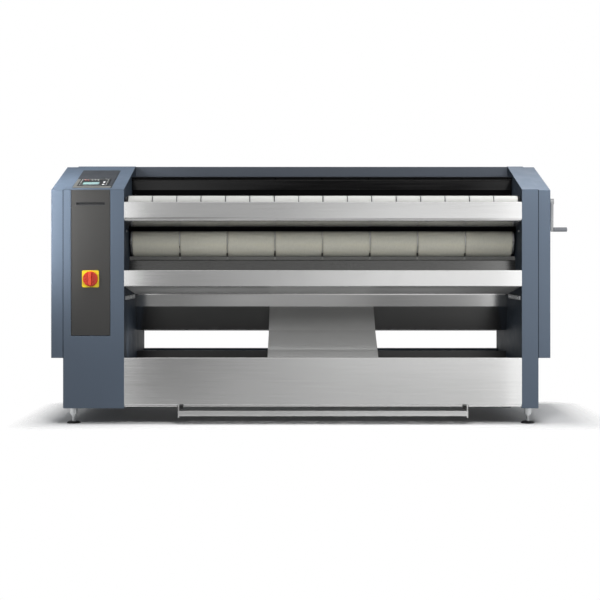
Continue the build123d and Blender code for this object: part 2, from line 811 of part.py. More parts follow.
def make_heater():
    """Fixed tube through the journals, on a bush in each, with rods held by three round spiders."""
    wall = inside_width / 2
    span = (-wall - carrier_left, wall + carrier_right)
    carrier = rod_x(carrier_radius, span, cylinder_y, cylinder_z)
    for side in (-1, 1):
        start = side * (wall + bush_start)
        carrier += rod_x(journal_bore - running_clearance, (start, start + side * bush_length),
                         cylinder_y, cylinder_z)
    carrier -= rod_x(carrier_radius - carrier_wall, (span[0] - overcut, span[1] + overcut),
                     cylinder_y, cylinder_z)
    strap_x = wall + carrier_right - strap_thickness
    strap_y = (cylinder_y - strap_width / 2, cylinder_y + strap_width / 2)
    strap = block((strap_x, strap_x + strap_thickness), strap_y,
                  (cylinder_z - strap_drop, cylinder_z + strap_width))
    strap += block((right_plate, strap_x), strap_y,
                   (cylinder_z - strap_drop, cylinder_z - strap_drop + strap_width / 2))
    strap -= rod_x(carrier_radius, (strap_x - overcut, strap_x + strap_thickness + overcut),
                   cylinder_y, cylinder_z)
    rods, spiders = [], []
    reach = barrel_end - rod_end_gap
    places = [(cylinder_y + rod_circle * math.cos(2 * math.pi * k / rod_count),
               cylinder_z + rod_circle * math.sin(2 * math.pi * k / rod_count)) for k in range(rod_count)]
    for y, z in places:
        rods.append(rod_x(rod_radius, (-reach, reach), y, z))
    for k in range(spider_count):
        middle = (k - (spider_count - 1) / 2) * (2 * reach - 4 * spider_thickness) / (spider_count - 1)
        x = (middle - spider_thickness / 2, middle + spider_thickness / 2)
        spider = tube_x(spider_radius, carrier_radius, x, cylinder_y, cylinder_z)
        for y, z in places:
            spider -= rod_x(rod_radius, x, y, z)
        spiders.append(spider)
    nodes["heater"] = group(carrier, strap, *spiders, *rods)


# ---- drive ----
def make_drive():
    pulley_end = pulley_start - pulley_width
    gearbox_start = left_plate - gearbox_gap
    gearbox_end = gearbox_start - gearbox_size[0]
    motor_y = cylinder_y
    body = block((gearbox_start, gearbox_end), (motor_y - gearbox_size[1] / 2, motor_y + gearbox_size[1] / 2),
                 (motor_z - gearbox_size[2] / 2, motor_z + gearbox_size[2] / 2))
    body = fillet(body.edges().filter_by(Axis.X), switch_corner)
    for dy in (-stud_y, stud_y):
        for dz in (-stud_z, stud_z):
            body += rod_x(stud_radius, (left_plate, gearbox_start), motor_y + dy, motor_z + dz)
    body += rod_x(motor_radius, (gearbox_end, gearbox_end - motor_length), motor_y, motor_z)
    turn = Pos(gearbox_end - motor_length / 2, motor_y, motor_z) * Rot(0, 90, 0)
    for k in range(motor_fin_count):
        body += turn * Rot(0, 0, k * 360 / motor_fin_count) * Pos(motor_radius, 0, 0) \
            * Box(*motor_fin)
    nodes["gear_motor"] = body
    pulley = rod_x(motor_pulley_radius, (pulley_start, pulley_end), motor_y, motor_z)
    pulley += rod_x(output_radius, (pulley_end, gearbox_start + rail_clearance), motor_y, motor_z)
    nodes["motor_pulley"] = pulley
    strip_wheels = [(motor_y, motor_z, motor_pulley_radius + belt_clearance, -1),
                    (cylinder_y, cylinder_z, cylinder_pulley_radius + belt_clearance, -1)]
    strip = loop_face(strip_wheels, drive_belt_thickness) - loop_face(strip_wheels, 0)
    middle = pulley_start - pulley_width / 2
    nodes["drive_belt"] = along_x(strip, (middle - drive_belt_width / 2, middle + drive_belt_width / 2))


# ---- fan ----
def make_fan():
    spigot_end = depth + spigot_length
    duct = rod_y(duct_radius, left_middle, (duct_front, spigot_end), fan_z)
    duct += rod_y(duct_flange_radius, left_middle, (depth, depth + duct_flange), fan_z)
    duct -= rod_y(duct_radius - duct_wall, left_middle, (duct_front - overcut, spigot_end + overcut), fan_z)
    inside = rod_y(duct_radius - duct_wall / 2, left_middle, (fan_motor_front, fan_motor_back), fan_z)
    ring_y = (fan_motor_front + fan_motor_back) / 2
    arms = []
    spoke = Pos(duct_radius / 2, 0, 0) * Box(duct_radius, *fan_arm)
    for k in range(fan_arm_count):
        arms.append(Pos(left_middle, ring_y, fan_z) * Rot(0, k * 360 / fan_arm_count, 0) * spoke & inside)
    motor_space = rod_y(fan_motor_radius, left_middle, (duct_front, spigot_end), fan_z)
    for arm in arms:
        duct += arm - motor_space
    motor = rod_y(fan_motor_radius, left_middle, (fan_motor_front, fan_motor_back), fan_z)
    impeller_front = fan_motor_back + impeller_gap
    impeller_back = impeller_front + impeller_length
    motor += rod_y(fan_shaft_radius, left_middle, (fan_motor_back, impeller_back - impeller_gap), fan_z)
    nodes["exhaust_duct"] = group(duct, motor)
    impeller = rod_y(impeller_hub_radius, left_middle, (impeller_front, impeller_back), fan_z)
    tip = duct_radius - duct_wall - blade_tip_gap
    sweep = rod_y(tip, left_middle, (impeller_front, impeller_back), fan_z)
    middle = Pos(left_middle, (impeller_front + impeller_back) / 2, fan_z)
    blade = Pos(tip / 2 + impeller_hub_radius / 4, 0, 0) * Rot(blade_pitch, 0, 0) \
        * Box(tip, impeller_length * 2, blade_thickness)
    core = rod_y(impeller_hub_radius / 2, left_middle, (duct_front, spigot_end), fan_z)
    for k in range(blade_count):
        impeller += (middle * Rot(0, k * 360 / blade_count, 0) * blade & sweep) - core
    impeller -= rod_y(fan_shaft_radius + running_clearance, left_middle,
                      (impeller_front - overcut, impeller_back - impeller_gap + hole_clearance), fan_z)
    nodes["fan_impeller"] = impeller


# ---- sheet work between the housings ----
def make_top():
    beam_back = slope_depth + beam_depth
    beam = bent_sheet([(beam_back, beam_bottom), (slope_depth, beam_bottom), (slope_depth, top_z),
                       (beam_back, top_z)], (corner, corner), -sheet)
    nodes["top_beam"] = along_x(beam, inner_span())
    hood = bent_sheet([(beam_back, top_z), (depth, top_z), (depth, top_z - hood_lip)], (corner,), -sheet)
    hood = along_x(hood, inner_span())
    vent_middle = (beam_back + depth) / 2
    for k in range(hood_vent_count):
        x = (k - (hood_vent_count - 1) / 2) * (inside_width / (hood_vent_count + 1))
        hood -= block((x - vent_height / 2, x + vent_height / 2),
                      (vent_middle - vent_length, vent_middle + vent_length),
                      (top_z - 2 * sheet, top_z + sheet))
    nodes["top_hood"] = hood
    panel = block(inner_span(), (depth - sheet, depth), (panel_bottom, top_z - hood_lip))
    panel += block(inner_span(), (depth - sill_flange / 2, depth), (panel_bottom, panel_bottom + sheet))
    for column in (-1, 0, 1):
        for k in range(vent_count):
            x = column * inside_width / 4
            z = top_z - 2 * hood_lip - k * vent_pitch
            panel -= block((x - vent_length / 2, x + vent_length / 2), (depth - 2 * sheet, depth + sheet),
                           (z - vent_height, z))
    sill = bent_sheet([(depth - sill_flange, sill_top), (depth, sill_top), (depth, sill_bottom)],
                      (corner,), -sheet)
    nodes["rear_panels"] = group(panel, along_x(sill, inner_span()))
    guard_hood = bent_sheet([(beam_back, beam_bottom), (slope_depth, beam_bottom),
                             (guard_hood_front, guard_hood_z),
                             (guard_hood_front, guard_hood_z - guard_hood_lip)], (corner, corner), sheet)
    nodes["guard_hood"] = along_x(guard_hood, inner_span())


def make_guard():
    """Board that hangs from a round rod and swings inwards when something pushes it."""
    ends = inner_span(guard_end_gap)
    board = block(ends, (guard_y - guard_thickness / 2, guard_y + guard_thickness / 2),
                  (guard_bottom, guard_axis_z))
    reach = inside_width / 2 + sheet + plate_thickness
    nodes["finger_guard"] = board + rod_x(guard_rod_radius, (-reach, reach), guard_y, guard_axis_z)


def make_feed_table():
    top = feed_top - feed_belt_thickness - table_drop
    table = bent_sheet([(table_front, top - table_edge), (table_front, top), (table_back, top),
                        (table_back, top - table_edge)], (corner, corner), -sheet)
    nodes["feed_table"] = along_x(table, inner_span())


def make_apron():
    apron = bent_sheet([(apron_hem, apron_top), (0, apron_top), (0, apron_bottom),
                        (apron_depth, apron_rear_z), (apron_depth, apron_rear_z + hem)],
                       (corner, apron_bend, corner), sheet)
    nodes["upper_apron"] = along_x(apron, inner_span())


def make_trough():
    trough = bent_sheet([(hem, lip_top), (0, lip_top), (0, lip_bottom),
                         (trough_depth - seat_gap, trough_rear_z)], (corner, corner), sheet)
    nodes["exit_trough"] = along_x(trough, inner_span())
    floor_z = lip_bottom - floor_slope * slide_foot + sheet / math.cos(math.atan(floor_slope))
    slide = bent_sheet([(slide_rear, slide_top), (slide_break, slide_top), (slide_foot, slide_foot_top),
                        (slide_foot, floor_z)], (corner, corner), sheet)
    nodes["exit_slide"] = along_x(slide, inner_span())
    bar_back = slide_rear - sheet
    bar = block(inner_span(), (bar_back - bar_size, bar_back),
                (slide_top - sheet - bar_size, slide_top - sheet))
    tip_radius = front_roller_radius + belt_clearance + belt_thickness + finger_tip_gap + finger_thickness
    angle = math.radians(finger_tip_angle)
    tip = (front_roller_y + tip_radius * math.cos(angle), front_roller_z + tip_radius * math.sin(angle))
    finger = bent_sheet([(bar_back, slide_top), (slide_break + sheet, slide_top), tip],
                        (corner,), -finger_thickness)
    first = -(finger_count - 1) * belt_pitch / 2
    places = [first + k * belt_pitch for k in range(finger_count)]
    nodes["stripper_fingers"] = group(bar, *[along_x(finger, (x - finger_width / 2, x + finger_width / 2))
                                             for x in places])


def hex_head(side, y, z, wall):
    """Bolt head on an upright face that looks along X."""
    head = extrude(RegularPolygon(bolt_radius, 6), bolt_head)
    return Pos(wall, y, z) * Rot(0, -90 * side, 0) * head


def make_brackets():
    """Bars bolted to both inner walls under the trough, and the apron's bolts."""
    pieces = []
    for side in (-1, 1):
        wall = side * inside_width / 2
        inner = wall - side * bracket_thickness
        pieces.append(block((wall, inner), (bracket_front, bracket_back),
                            (bracket_z - bracket_height / 2, bracket_z + bracket_height / 2)))
        spacing = (bracket_back - bracket_front) / bolts_per_bracket
        for k in range(bolts_per_bracket):
            pieces.append(hex_head(side, bracket_front + (k + 0.5) * spacing, bracket_z, inner))
        pieces.append(hex_head(side, apron_bolt_y, apron_bolt_z, wall))
    nodes["wall_brackets"] = group(*pieces)


def make_cowl_and_chute():
    cowl = bent_sheet([(trough_depth, cowl_top), (trough_depth, cowl_first_z), (cowl_bend_y, cowl_bend_z),
                       (cowl_low_y, cowl_low_z), (depth - sheet - seat_gap, panel_bottom + sheet + seat_gap)],
                      (corner, corner, corner), sheet)
    nodes["rear_cowl"] = along_x(cowl, inner_span())
    share = (cowl_bend_z - chute_top_z) / (cowl_bend_z - cowl_low_z)
    chute_top_y = cowl_bend_y + share * (cowl_low_y - cowl_bend_y) - chute_gap
    lean = math.atan2(chute_crease_z - front_panel_top, chute_crease_y - chute_foot_y)
    foot_z = front_panel_top + sheet / math.cos(lean) + hole_clearance
    points = [(chute_top_y, chute_top_z), (chute_crease_y, chute_crease_z), (chute_foot_y, foot_z)]
    half = chute_width / 2
    chute = along_x(bent_sheet(points, (corner,), sheet), (-half, half))
    keep = block((-half, half), (panel_flange + hem, chute_top_y - chute_edge), (0, height))
    edge = bent_sheet(points, (corner,), chute_edge)
    for side in (-1, 1):
        chute += along_x(edge, (side * half, side * (half - sheet))) & keep
    nodes["centre_chute"] = chute


def make_lower_front():
    front = bent_sheet([(panel_flange, front_panel_top), (0, front_panel_top), (0, front_panel_bottom),
                        (joggle, front_panel_bottom), (joggle, joggle_bottom), (panel_flange, joggle_bottom)],
                       (corner, corner, inner_corner, corner), sheet)
    nodes["lower_front_panel"] = along_x(front, inner_span())
    tray_back = sheet + tray_depth
    tray = bent_sheet([(sheet, front_panel_top - hem), (sheet, tray_bottom), (tray_back, tray_bottom),
                       (tray_back, tray_rear_top), (tray_back + tray_rim, tray_rear_top)],
                      (corner, corner, inner_corner), sheet)
    nodes["collecting_tray"] = along_x(tray, inner_span())


# ---- foot bar ----
def make_foot_bar():
    half = bar_length / 2
    inner = half - pedal_arm
    front = pedal_axis_y - foot_bar_depth / 2
    back = pedal_axis_y + foot_bar_depth / 2
    top = foot_bar_bottom + foot_bar_height
    bar = block((-inner, inner), (front, back), (foot_bar_bottom, top))
    bar = fillet(bar.edges().filter_by(Axis.X), corner)
    bar -= block((-inner - overcut, inner + overcut), (front + foot_bar_wall, back - foot_bar_wall),
                 (foot_bar_bottom + foot_bar_wall, top - foot_bar_wall))
    for side in (-1, 1):
        x = (side * inner, side * half)
        arm = rod_x(pedal_arm_radius, x, pedal_axis_y, pedal_axis_z)
        arm += block(x, (pedal_axis_y - pedal_arm_radius, pedal_axis_y + pedal_arm_radius),
                     (foot_bar_bottom, pedal_axis_z))
        arm += block(x, (front, back), (pedal_arm_bottom, top))
        bar += arm - rod_x(pedal_pin_radius + running_clearance, x, pedal_axis_y, pedal_axis_z)
    nodes["foot_bar"] = bar
    pieces = []
    for side in (-1, 1):
        outer = side * (inner - hole_clearance)
        hanger = block((outer, outer - side * pedal_block), (pedal_axis_y - pedal_arm_radius, joggle),
                       (pedal_axis_z - pedal_block_height / 2, pedal_axis_z + pedal_block_height / 2))
        end = side * (half + hole_clearance)
        hanger += rod_x(pedal_pin_radius, (outer, end + side * pedal_pin_radius), pedal_axis_y, pedal_axis_z)
        hanger += rod_x(pedal_head_radius, (end, end + side * pedal_pin_radius), pedal_axis_y, pedal_axis_z)
        pieces.append(hanger)
    nodes["pedal_brackets"] = group(*pieces)


# ---- service door and main switch ----
def make_door():
    right = door_left + door_width
    door = block((door_left, right), (0, door_return), (door_bottom, door_top))
    door -= block((door_left + sheet, right - sheet), (sheet, door_return + overcut),
                  (door_bottom + sheet, door_top - sheet))
    door -= block((door_middle - slot_width / 2, door_middle + slot_width / 2), (-overcut, 2 * sheet),
                  (slot_z - slot_height / 2, slot_z + slot_height / 2))
    door -= rod_y(switch_neck_radius, door_middle, (-overcut, 2 * sheet), switch_z)
    axis_x = door_left + door_axis_x
    ears = []
    for z in hinge_heights:
        gap = hinge_ear / 2 + hinge_play
        for side in (-1, 1):
            span = (z + side * gap, z + side * (gap + hinge_barrel_length))
            barrel = rod_z(hinge_barrel_radius, axis_x, door_axis_y, span)
            barrel += block((axis_x - hinge_barrel_radius, axis_x + hinge_barrel_radius),
                            (sheet, door_axis_y), span)
            door += barrel - rod_z(hinge_pin_radius + running_clearance, axis_x, door_axis_y, span)
        neck = [(0, 0), (neck_side, neck_rise), (neck_side, neck_depth), (-neck_reach, neck_depth),
                (-neck_reach, sheet + neck_half - door_axis_y)]
        path = Polyline(*[(axis_x + dx, door_axis_y + dy) for dx, dy in neck])
        outline = make_face(offset(path, amount=neck_half, side=Side.BOTH, kind=Kind.INTERSECTION))
        ear = extrude(outline, hinge_ear)
        ear = Pos(0, 0, z - hinge_ear / 2) * ear
        reach = gap + hinge_barrel_length
        ears.append(ear + rod_z(hinge_pin_radius, axis_x, door_axis_y, (z - reach, z + reach)))
    nodes["service_door"] = door
    nodes["door_hinges"] = group(*ears)


def make_switch():
    half = switch_size / 2
    plate = block((door_middle - half, door_middle + half), (-switch_thickness, 0),
                  (switch_z - half, switch_z + half))
    plate = fillet(plate.edges().filter_by(Axis.Y), switch_corner)
    plate += rod_y(switch_neck_radius, door_middle, (-switch_thickness, switch_box_front), switch_z)
    half = switch_box_size / 2
    plate += block((door_middle - half, door_middle + half), (switch_box_front, switch_box_back),
                   (switch_z - half, switch_z + half))
    bore = rod_y(knob_shaft_radius + running_clearance, door_middle,
                 (-knob_radius, switch_box_front + grip_width), switch_z)
    nodes["switch_plate"] = plate - bore
    back = -switch_thickness - knob_gap
    knob = rod_y(knob_radius, door_middle, (back, back - knob_thickness), switch_z)
    knob = fillet(knob.edges().filter_by(GeomType.CIRCLE).sort_by(Axis.Y)[0], corner)
    front = back - knob_thickness
    grip_half = knob_radius - corner
    grip = block((door_middle - grip_width / 2, door_middle + grip_width / 2),
                 (front - grip_height, front + overcut), (switch_z - grip_half, switch_z + grip_half))
    grip = fillet(grip.edges().filter_by(Axis.Y), grip_round)
    grip = fillet(grip.faces().sort_by(Axis.Y)[0].edges(), corner)
    shaft_span = (back - overcut, switch_box_front + grip_width - overcut)
    shaft = rod_y(knob_shaft_radius, door_middle, shaft_span, switch_z)
    nodes["switch_knob"] = knob + grip + shaft


# ---- controls on the slope ----
def on_slope(shift, distance, size, low, high, radius=0.0):
    """Rounded block on the slope between two heights above it, centred at a shift and a distance."""
    piece = Pos(shift, distance, (low + high) / 2) * Box(size[0], size[1], high - low)
    if radius:
        piece = fillet(piece.edges().filter_by(Axis.Z), radius)
    return slope_frame * piece


def make_controls():
    length = control_end - control_start
    nodes["control_plate"] = on_slope(0, control_start + length / 2, (door_width, length), 0,
                                      control_thickness, corner)
    bezel_height = bezel_end - bezel_start
    top = control_thickness + bezel_thickness
    bezel = on_slope(0, (bezel_start + bezel_end) / 2, (bezel_width, bezel_height), control_thickness, top,
                     corner)
    lens = (display_width, display_height)
    lens_base = top - display_recess
    bezel -= on_slope(display_shift, display_distance, lens, lens_base, top + overcut)
    glass = (display_width - 2 * key_clearance, display_height - 2 * key_clearance)
    nodes["display_lens"] = on_slope(display_shift, display_distance, glass, lens_base,
                                     lens_base + display_thickness)
    for name, size, shift, distance in key_places():
        room = (size[0] + 2 * key_clearance, size[1] + 2 * key_clearance)
        bezel -= on_slope(shift, distance, room, control_thickness, top + overcut, key_corner)
        nodes[name] = on_slope(shift, distance, size, control_thickness + key_floor, top + key_rise,
                               key_corner)
    nodes["keypad_bezel"] = bezel


def key_places():
    """Name, size, shift across and distance along the slope of each key."""
    places = [("large_key_%d" % (k + 1), large_key, large_key_shift, distance)
              for k, distance in enumerate(large_key_distances)]
    return places + [("small_key_%d" % (k + 1), small_key, shift, small_key_distance)
                     for k, shift in enumerate(small_key_shifts)]


# ---- electrical panel ----
def make_electrics():
    right = left_plate
    left = right - gear_plate_width
    plate = block((left, right), (gear_plate_y, gear_plate_y + gear_plate_thickness),
                  (gear_plate_bottom, gear_plate_top))
    plate += block((right - gear_plate_thickness, right), (gear_plate_y, gear_plate_y + gear_flange),
                   (gear_plate_bottom, gear_plate_top))
    middle = (left + right) / 2
    rows = (("breakers", breaker_count, breaker_size), ("contactors", contactor_count, contactor_size),
            ("inverter", 1, inverter_size), ("terminals", terminal_count, terminal_size))
    pieces = []
    for name, count, size in rows:
        z = gear_plate_bottom + gear_rows[name]
        for k in range(count):
            x = middle + (k - (count - 1) / 2) * (size[0] + gear_gap)
            piece = block((x - size[0] / 2, x + size[0] / 2), (gear_plate_y - size[1], gear_plate_y),
                          (z - size[2] / 2, z + size[2] / 2))
            lever = (gear_plate_y - size[1] * (1 + gear_lever_share), gear_plate_y - size[1])
            piece += block((x - size[0] / 4, x + size[0] / 4), lever, (z - size[2] / 4, z + size[2] / 4))
            pieces.append(piece)
    nodes["control_gear"] = group(plate, *pieces)


def make_gland():
    x = left_middle - gland_drop
    gland = rod_y(gland_radius, x, (depth - gland_inside, depth + gland_outside), gland_z)
    for y in (depth, depth - sheet - gland_nut):
        nut = extrude(RegularPolygon(gland_nut_radius, 6), gland_nut)
        gland += Pos(x, y + gland_nut, gland_z) * Rot(90, 0, 0) * nut
    bore = (depth - 2 * gland_inside, depth + 2 * gland_outside)
    nodes["cable_gland"] = gland - rod_y(gland_bore, x, bore, gland_z)


# ---- hand crank ----
def make_crank():
    hub_end = right_outer + crank_reach
    arm_start = hub_end - crank_hub_length / 2 - crank_arm_thickness / 2
    arm_x = (arm_start, arm_start + crank_arm_thickness)
    shaft_start = inside_width / 2 + sheet + plate_thickness
    crank = rod_x(crank_shaft_radius, (shaft_start - sheet, hub_end), crank_y, crank_z)
    crank += rod_x(crank_hub_radius, (hub_end - crank_hub_length, hub_end), crank_y, crank_z)
    tip_z = crank_z - crank_arm_length
    corners = ((crank_y - crank_hub_radius, crank_z), (crank_y + crank_hub_radius, crank_z),
               (crank_y + crank_tip_radius, tip_z), (crank_y - crank_tip_radius, tip_z))
    web = make_face(Polyline(*corners, close=True))
    crank += along_x(web, arm_x)
    crank += rod_x(crank_tip_radius, arm_x, crank_y, tip_z)
    grip_x = (arm_x[1] + grip_gap, arm_x[1] + grip_gap + grip_length)
    crank += rod_x(grip_pin_radius, (arm_x[1], grip_x[1] - grip_end - grip_gap), crank_y, tip_z)
    nodes["hand_crank"] = crank
    grip = rod_x(grip_radius, grip_x, crank_y, tip_z)
    grip = fillet(grip.edges().filter_by(GeomType.CIRCLE), corner)
    nodes["crank_grip"] = grip - rod_x(grip_pin_radius + running_clearance,
                                       (grip_x[0] - overcut, grip_x[1] - grip_end), crank_y, tip_z)


def build():
    """Every sub-part, then the move that puts the origin under the middle of the whole."""
    for make in (make_housings, make_side_plates, make_base, make_cylinder, make_rollers, make_bearings,
                 make_belts, make_heater, make_drive, make_fan, make_top, make_guard, make_feed_table,
                 make_apron, make_trough, make_brackets, make_cowl_and_chute, make_lower_front, make_foot_bar,
                 make_door, make_switch, make_controls, make_electrics, make_gland, make_crank):
        make()
    boxes = [piece.bounding_box() for piece in nodes.values()]
    middle_x = (min(box.min.X for box in boxes) + max(box.max.X for box in boxes)) / 2
    middle_y = (min(box.min.Y for box in boxes) + max(box.max.Y for box in boxes)) / 2
    return Pos(-middle_x, -middle_y, 0)


to_origin = build()
os.makedirs("parts", exist_ok=True)
for node_name, node_piece in nodes.items():
    export_step(to_origin * node_piece, "parts/%s.step" % node_name)
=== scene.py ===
"""Flatwork ironer: finishes, fabric belts, small fittings, floor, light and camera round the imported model."""

import json
import math

import bpy
from mathutils import Matrix, Vector, noise


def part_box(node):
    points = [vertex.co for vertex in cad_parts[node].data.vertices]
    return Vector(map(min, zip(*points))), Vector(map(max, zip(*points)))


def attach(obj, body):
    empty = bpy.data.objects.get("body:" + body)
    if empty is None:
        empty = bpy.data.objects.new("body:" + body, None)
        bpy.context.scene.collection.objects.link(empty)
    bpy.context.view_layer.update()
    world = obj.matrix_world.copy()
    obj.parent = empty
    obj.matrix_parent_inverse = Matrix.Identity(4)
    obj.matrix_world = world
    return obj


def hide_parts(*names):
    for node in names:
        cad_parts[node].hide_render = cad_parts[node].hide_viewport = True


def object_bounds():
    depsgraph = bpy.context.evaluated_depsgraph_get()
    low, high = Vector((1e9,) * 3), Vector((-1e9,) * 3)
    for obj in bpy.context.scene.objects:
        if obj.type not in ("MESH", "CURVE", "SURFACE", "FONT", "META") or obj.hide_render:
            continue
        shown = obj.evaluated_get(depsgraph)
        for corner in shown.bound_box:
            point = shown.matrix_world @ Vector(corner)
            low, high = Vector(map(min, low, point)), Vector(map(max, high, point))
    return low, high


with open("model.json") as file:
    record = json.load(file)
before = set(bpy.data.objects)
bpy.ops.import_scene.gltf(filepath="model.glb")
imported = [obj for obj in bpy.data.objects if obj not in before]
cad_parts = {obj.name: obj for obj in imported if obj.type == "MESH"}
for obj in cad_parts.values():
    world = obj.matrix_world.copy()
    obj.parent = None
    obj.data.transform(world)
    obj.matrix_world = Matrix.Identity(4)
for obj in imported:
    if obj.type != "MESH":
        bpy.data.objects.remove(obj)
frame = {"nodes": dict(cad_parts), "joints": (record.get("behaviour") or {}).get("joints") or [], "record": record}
cad_low, cad_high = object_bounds()
nodes = frame["nodes"]
slot_of = {part["node"]: part["material_slot"] for part in frame["record"]["subparts"]}

# ---- camera, measured from the photograph ----
camera_x = -0.0715
camera_distance = 7.657          # from the upright front plane
camera_z = 0.834
focal_length = 89.82
sensor_width = 36.0
shift_x = -0.0013
shift_y = -0.0643

# ---- belts ----
felt_clearance = 0.0004
felt_thickness = 0.005
felt_width = 0.246
felt_pitch = 0.250
felt_count = 8
felt_columns = 14                # points across the outer face
felt_steps = (0.007, 0.06)       # along a roller, and along a straight run
felt_wander = 0.0028             # how far a belt strays sideways
felt_curl = 0.0022               # lift of the rims on the front roller
felt_curl_wheel = 3
felt_seeds = (0.0, 7.3)          # of the first belt, and the step to the next
web_thickness = 0.002
web_width = 0.121
web_pitch = 0.125
web_count = 16
web_columns = 6
web_steps = (0.006, 0.05)
web_wander = 0.0016
web_seeds = (41.0, 5.1)
drive_thickness = 0.008
drive_width = 0.014
drive_taper = 0.002
drive_cog = 0.009                # length of belt per cog
drive_notch = 0.35               # of the belt's thickness

# ---- small fittings ----
housing_ease = 0.0016
plate_ease = 0.0006
inner_wall_depth = 0.004
grip_face_depth = 0.004
pad_height = 0.0101
screw_radius = 0.0055
screw_height = 0.0018
screw_margin = 0.014
panel_screw_low = 0.50
column_screws = (0.16, 1.28)     # heights of the lowest and the highest
thread_span = (0.0105, 0.0385)   # heights of its ends
stem_radius = 0.008
thread_pitch = 0.0025
thread_depth = 0.0009
thread_root = 0.0002             # how far it is sunk in the stem
strip_margin = 0.0015
strip_rise = 0.0008
gap_width = 0.0035
border_inset = 0.009
border_width = 0.0025
border_rise = 0.0003
border_corner = 0.004
dot_share = 0.72                 # of a key's half size
dot_rise = 0.0006
cup_wall = 0.002
cup_depth = 0.015
cup_play = 0.0004
cup_search = 0.010
# Sizes of the dark strips in the column seams, which are painted shade.
seam_strip_width = 0.003
seam_strip_rise = 0.0006
lip_thickness = 0.003
lip_inset = 0.0045
lip_lap = 0.012
lip_end = 0.001
apron_lip_drop = 0.0235
skirt_gap = 0.007
slide_lip_back = 0.030           # behind the slide's front
slide_lip_rise = 0.0195
slide_lip_lean = 0.004
slide_lip_thickness = 0.0015
tip_shade_length = (0.022, 0.017)    # of a finger, below its tip: where the painted shade starts and is full


# ---- material helpers ----
def put(thing, **settings):
    """Sets several properties of one thing."""
    for key, value in settings.items():
        setattr(thing, key, value)
    return thing


def feed(node, inputs):
    """Sets the inputs of a node to values, or links them to outputs."""
    for socket, value in inputs.items():
        if isinstance(value, bpy.types.NodeSocket):
            node.id_data.links.new(value, node.inputs[socket])
        else:
            node.inputs[socket].default_value = value
    return node


class Look:
    """A node material, with short calls for what every finish here is built from."""

    def __init__(self, name, roughness=0.5, metallic=0.0):
        self.material = bpy.data.materials.new(name)
        self.material.use_nodes = True
        self.tree = self.material.node_tree
        self.shader = self.tree.nodes["Principled BSDF"]
        self.place = self.add("ShaderNodeTexCoord").outputs["Object"]
        self.set({"Roughness": roughness, "Metallic": metallic})

    def add(self, kind, inputs=None, **settings):
        return feed(put(self.tree.nodes.new(kind), **settings), inputs or {})

    def set(self, inputs):
        feed(self.shader, inputs)

    def noise(self, scale, detail=3.0, roughness=0.5, stretch=(1, 1, 1), source=None):
        """Noise whose grains are 1 / scale metres wide, closer on each axis by its stretch."""
        mapping = self.add("ShaderNodeMapping", {"Scale": stretch, "Vector": source or self.place})
        return self.add("ShaderNodeTexNoise", {"Scale": scale, "Detail": detail, "Roughness": roughness,
                                               "Vector": mapping.outputs["Vector"]}).outputs["Fac"]

    def wave(self, scale, axis, source=None):
        """Bands across one axis, 1 / scale metres apart."""
        inputs = {"Scale": scale * math.pi / 10, "Vector": source or self.place}
        return self.add("ShaderNodeTexWave", inputs, bands_direction=axis).outputs["Fac"]

    def range(self, value, low, high, to_low=0.0, to_high=1.0):
        """The value's stretch from low to high, mapped to another stretch and held at its ends."""
        inputs = {"Value": value, "From Min": low, "From Max": high, "To Min": to_low, "To Max": to_high}
        return self.add("ShaderNodeMapRange", inputs).outputs["Result"]

    def maths(self, operation, first, second):
        return self.add("ShaderNodeMath", {0: first, 1: second}, operation=operation).outputs["Value"]

    def mix(self, factor, first, second):
        """Colour between two colours or outputs."""
        node = self.add("ShaderNodeMix", {"Factor": factor}, data_type="RGBA")
        sockets = [k for k, socket in enumerate(node.inputs) if socket.type == "RGBA"]
        values = [(*value[:3], 1.0) if isinstance(value, tuple) else value for value in (first, second)]
        feed(node, dict(zip(sockets, values)))
        return [socket for socket in node.outputs if socket.type == "RGBA"][0]

    def bump(self, height, distance, strength, below=None):
        """Bump from a height, on top of another bump."""
        node = self.add("ShaderNodeBump", {"Distance": distance, "Strength": strength, "Height": height})
        return feed(node, {"Normal": below} if below else {}).outputs["Normal"]

    def tint(self, base, mask, share, colour):
        """The base colour, with a share of another where the mask is 1."""
        return self.mix(self.maths("MULTIPLY", mask, share), base, colour)

    def vary(self, mask, colour, low, high):
        """Shades of one colour, from the low factor where the mask is 0 to the high one where it is 1."""
        return self.mix(mask, shade(colour, low), shade(colour, high))

    def attribute(self, name):
        return self.add("ShaderNodeAttribute", attribute_name=name).outputs["Fac"]

    def along(self, axis):
        """The place along X, Y or Z."""
        return self.add("ShaderNodeSeparateXYZ", {"Vector": self.place}).outputs[axis]

    def cloth(self):
        return self.add("ShaderNodeUVMap", uv_map="Cloth").outputs["UV"]

    def finish(self, colour, roughness, height, distance, strength, below=None):
        """Links the colour, the roughness and the bump, and gives the material."""
        self.set({"Base Color": colour, "Normal": self.bump(height, distance, strength, below)})
        if roughness:
            self.set({"Roughness": roughness})
        return self.material

    def edges(self, radius):
        """About 1 along sharp edges and 0 elsewhere."""
        bevel = self.add("ShaderNodeBevel", {"Radius": radius}, samples=4).outputs["Normal"]
        flat = self.add("ShaderNodeNewGeometry").outputs["Normal"]
        dot = self.add("ShaderNodeVectorMath", {0: bevel, 1: flat}, operation="DOT_PRODUCT")
        return self.range(dot.outputs["Value"], 0.995, 0.93)


def shade(colour, factor):
    return tuple(min(1.0, channel * factor) for channel in colour)


